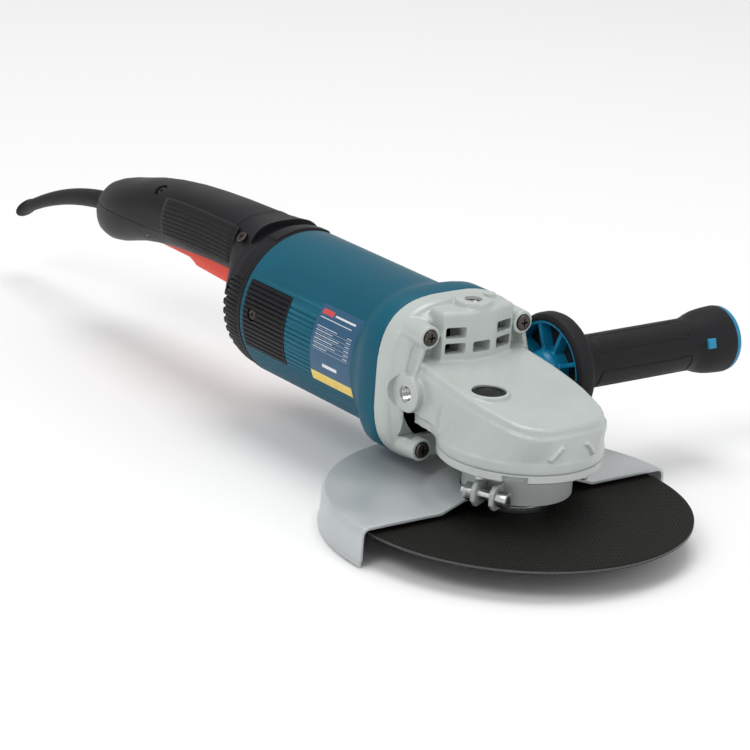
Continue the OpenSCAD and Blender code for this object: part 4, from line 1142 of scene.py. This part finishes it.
# a black disc behind the spokes: painted shade in the pockets between them
web = turned([(11.5, 75), (31, 75), (31, 77.6), (11.5, 77.6)], 96)
spokes = []
for k in range(8):
    spoke = block((11, -1.5, 67), (31.5, 1.5, 76))
    spokes.append(moved(spoke, Matrix.Rotation(math.radians(22.5 + 45 * k), 4, "Z")))
spider = cast([hub, band_ring] + spokes, 0.6, 2)
settle(moved(web, HANDLE), "hand_shield_shade_web", "housing", BLACK)
spider = moved(milled(spider, [rod(7.02, (0, 0, 40), (0, 0, 90))]), HANDLE)
settle(spider, "hand_shield_spider", "housing", BLUE, ["handguard_wheel"], smooth=40)
rim_bm = turned([(32.5, 65.2), (34.5, 65.4), (36.6, 67), (37.5, 70), (37.5, 75), (36.4, 78), (34.5, 79),
                 (32.5, 79)], 128)
settle(moved(eased(rim_bm, 0.4, 40), HANDLE), "hand_shield_rim", "housing", RUBBER, ["handguard_rim"])

# %% [markdown]
# The grip is soft rubber with four long panels outlined by a groove, and a flared end that stops the
# hand slipping off. The grooves come from the distance to a rounded rectangle wrapped round the grip.

# %% Side grip
def panel_groove(angle, along):
    turn = (angle + math.pi / 12) % (math.pi / 2) - math.pi / 4
    sideways = abs(turn * 18) - 8.6 + (0.9 if abs(along) < 30 else 0)
    lengthways = abs(along) - 40
    outside = math.hypot(max(sideways + 3, 0), max(lengthways + 3, 0))
    gap = abs(outside + min(max(sideways, lengthways) + 3, 0) - 3)
    return 0.75 * max(0.0, 1 - (gap / 0.95) ** 2)


def grip_ring(y, radius):
    ring = []
    for k in range(240):
        a = 2 * math.pi * k / 240
        r = radius - (panel_groove(a, y - 140) if radius > 17 else 0)
        ring.append((r * math.cos(a), r * math.sin(a), y))
    return ring


ends = [(81.2, 11), (81.2, 16.8), (82.6, 18)]
flare = [(187, 18), (190, 18.6), (196, 20.6), (200, 21.6), (205, 22.3), (212, 22.8), (216.6, 22.9), (216.6, 11)]
grip_profile = ends + [(84 + 0.6 * k, 18) for k in range(171)] + flare
rubber = moved(lofted([grip_ring(y, r) for y, r in grip_profile]), HANDLE)
settle(rubber, "side_grip_rubber", "housing", RUBBER, ["side_grip"], smooth=50)
end_ring = turned([(11, 217), (22.4, 217), (22.4, 219.8), (21.6, 221), (18, 221), (17.4, 219.6),
                   (11, 219.6)], 96)
settle(moved(eased(end_ring, 0.4), HANDLE), "side_grip_end_ring", "housing", BLUE, ["grip_end_ring"])
inserts = []
for y in (86, 192):
    for turn in (-15, 165):
        lift = 18.3 if y < 100 else 21.2
        chip = eased(block((12, -3.5, y), (lift, 3.5, y + 7)), 0.8)
        inserts.append(moved(chip, Matrix.Rotation(math.radians(turn), 4, "Z")))
settle(moved(gathered(inserts), HANDLE), "side_grip_inserts", "housing", BLUE, ["grip_inserts"])

# %% [markdown]
# The stage is a plain pale floor under the tool, a large soft light from above and to the left, a weaker
# one from the right to open the shadows, and an even pale sky.

# %% Floor and lights
low_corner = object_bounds()[0]
floor_mesh = bpy.data.meshes.new("floor")
floor_bm = bmesh.new()
bmesh.ops.create_grid(floor_bm, x_segments=1, y_segments=1, size=6)
bmesh.ops.translate(floor_bm, vec=(0, 0, low_corner[2] - 0.0005), verts=floor_bm.verts)
floor_bm.to_mesh(floor_mesh)
floor_bm.free()
floor = bpy.data.objects.new("floor", floor_mesh)
bpy.context.scene.collection.objects.link(floor)
floor_paint = bpy.data.materials.new("pale floor")
floor_paint.use_nodes = True
floor_shader = floor_paint.node_tree.nodes["Principled BSDF"]
floor_shader.inputs["Base Color"].default_value = (0.96, 0.96, 0.96, 1)
floor_shader.inputs["Roughness"].default_value = 0.9
floor_mesh.materials.append(floor_paint)


def soft_light(name, place, target, size, power):
    data = bpy.data.lights.new(name, "AREA")
    data.shape, data.size, data.energy = "DISK", size, power
    lamp = bpy.data.objects.new(name, data)
    lamp.location = place
    lamp.rotation_euler = (Vector(target) - Vector(place)).to_track_quat("-Z", "Y").to_euler()
    bpy.context.scene.collection.objects.link(lamp)
    return lamp


soft_light("key", (0.5, -1.9, 2.2), (-0.15, 0, 0.05), 1.3, 19)
soft_light("fill", (2.2, 0.9, 1.3), (0, 0, 0.05), 1.6, 8)
soft_light("top", (-0.3, 0.3, 2.6), (-0.15, 0, 0.05), 1.6, 22)
world = bpy.data.worlds.new("pale sky")
world.use_nodes = True
world.node_tree.nodes["Background"].inputs["Color"].default_value = (1, 1, 1, 1)
world.node_tree.nodes["Background"].inputs["Strength"].default_value = 0.62
bpy.context.scene.world = world
bpy.context.scene.view_settings.view_transform = "Standard"
print("stage set")
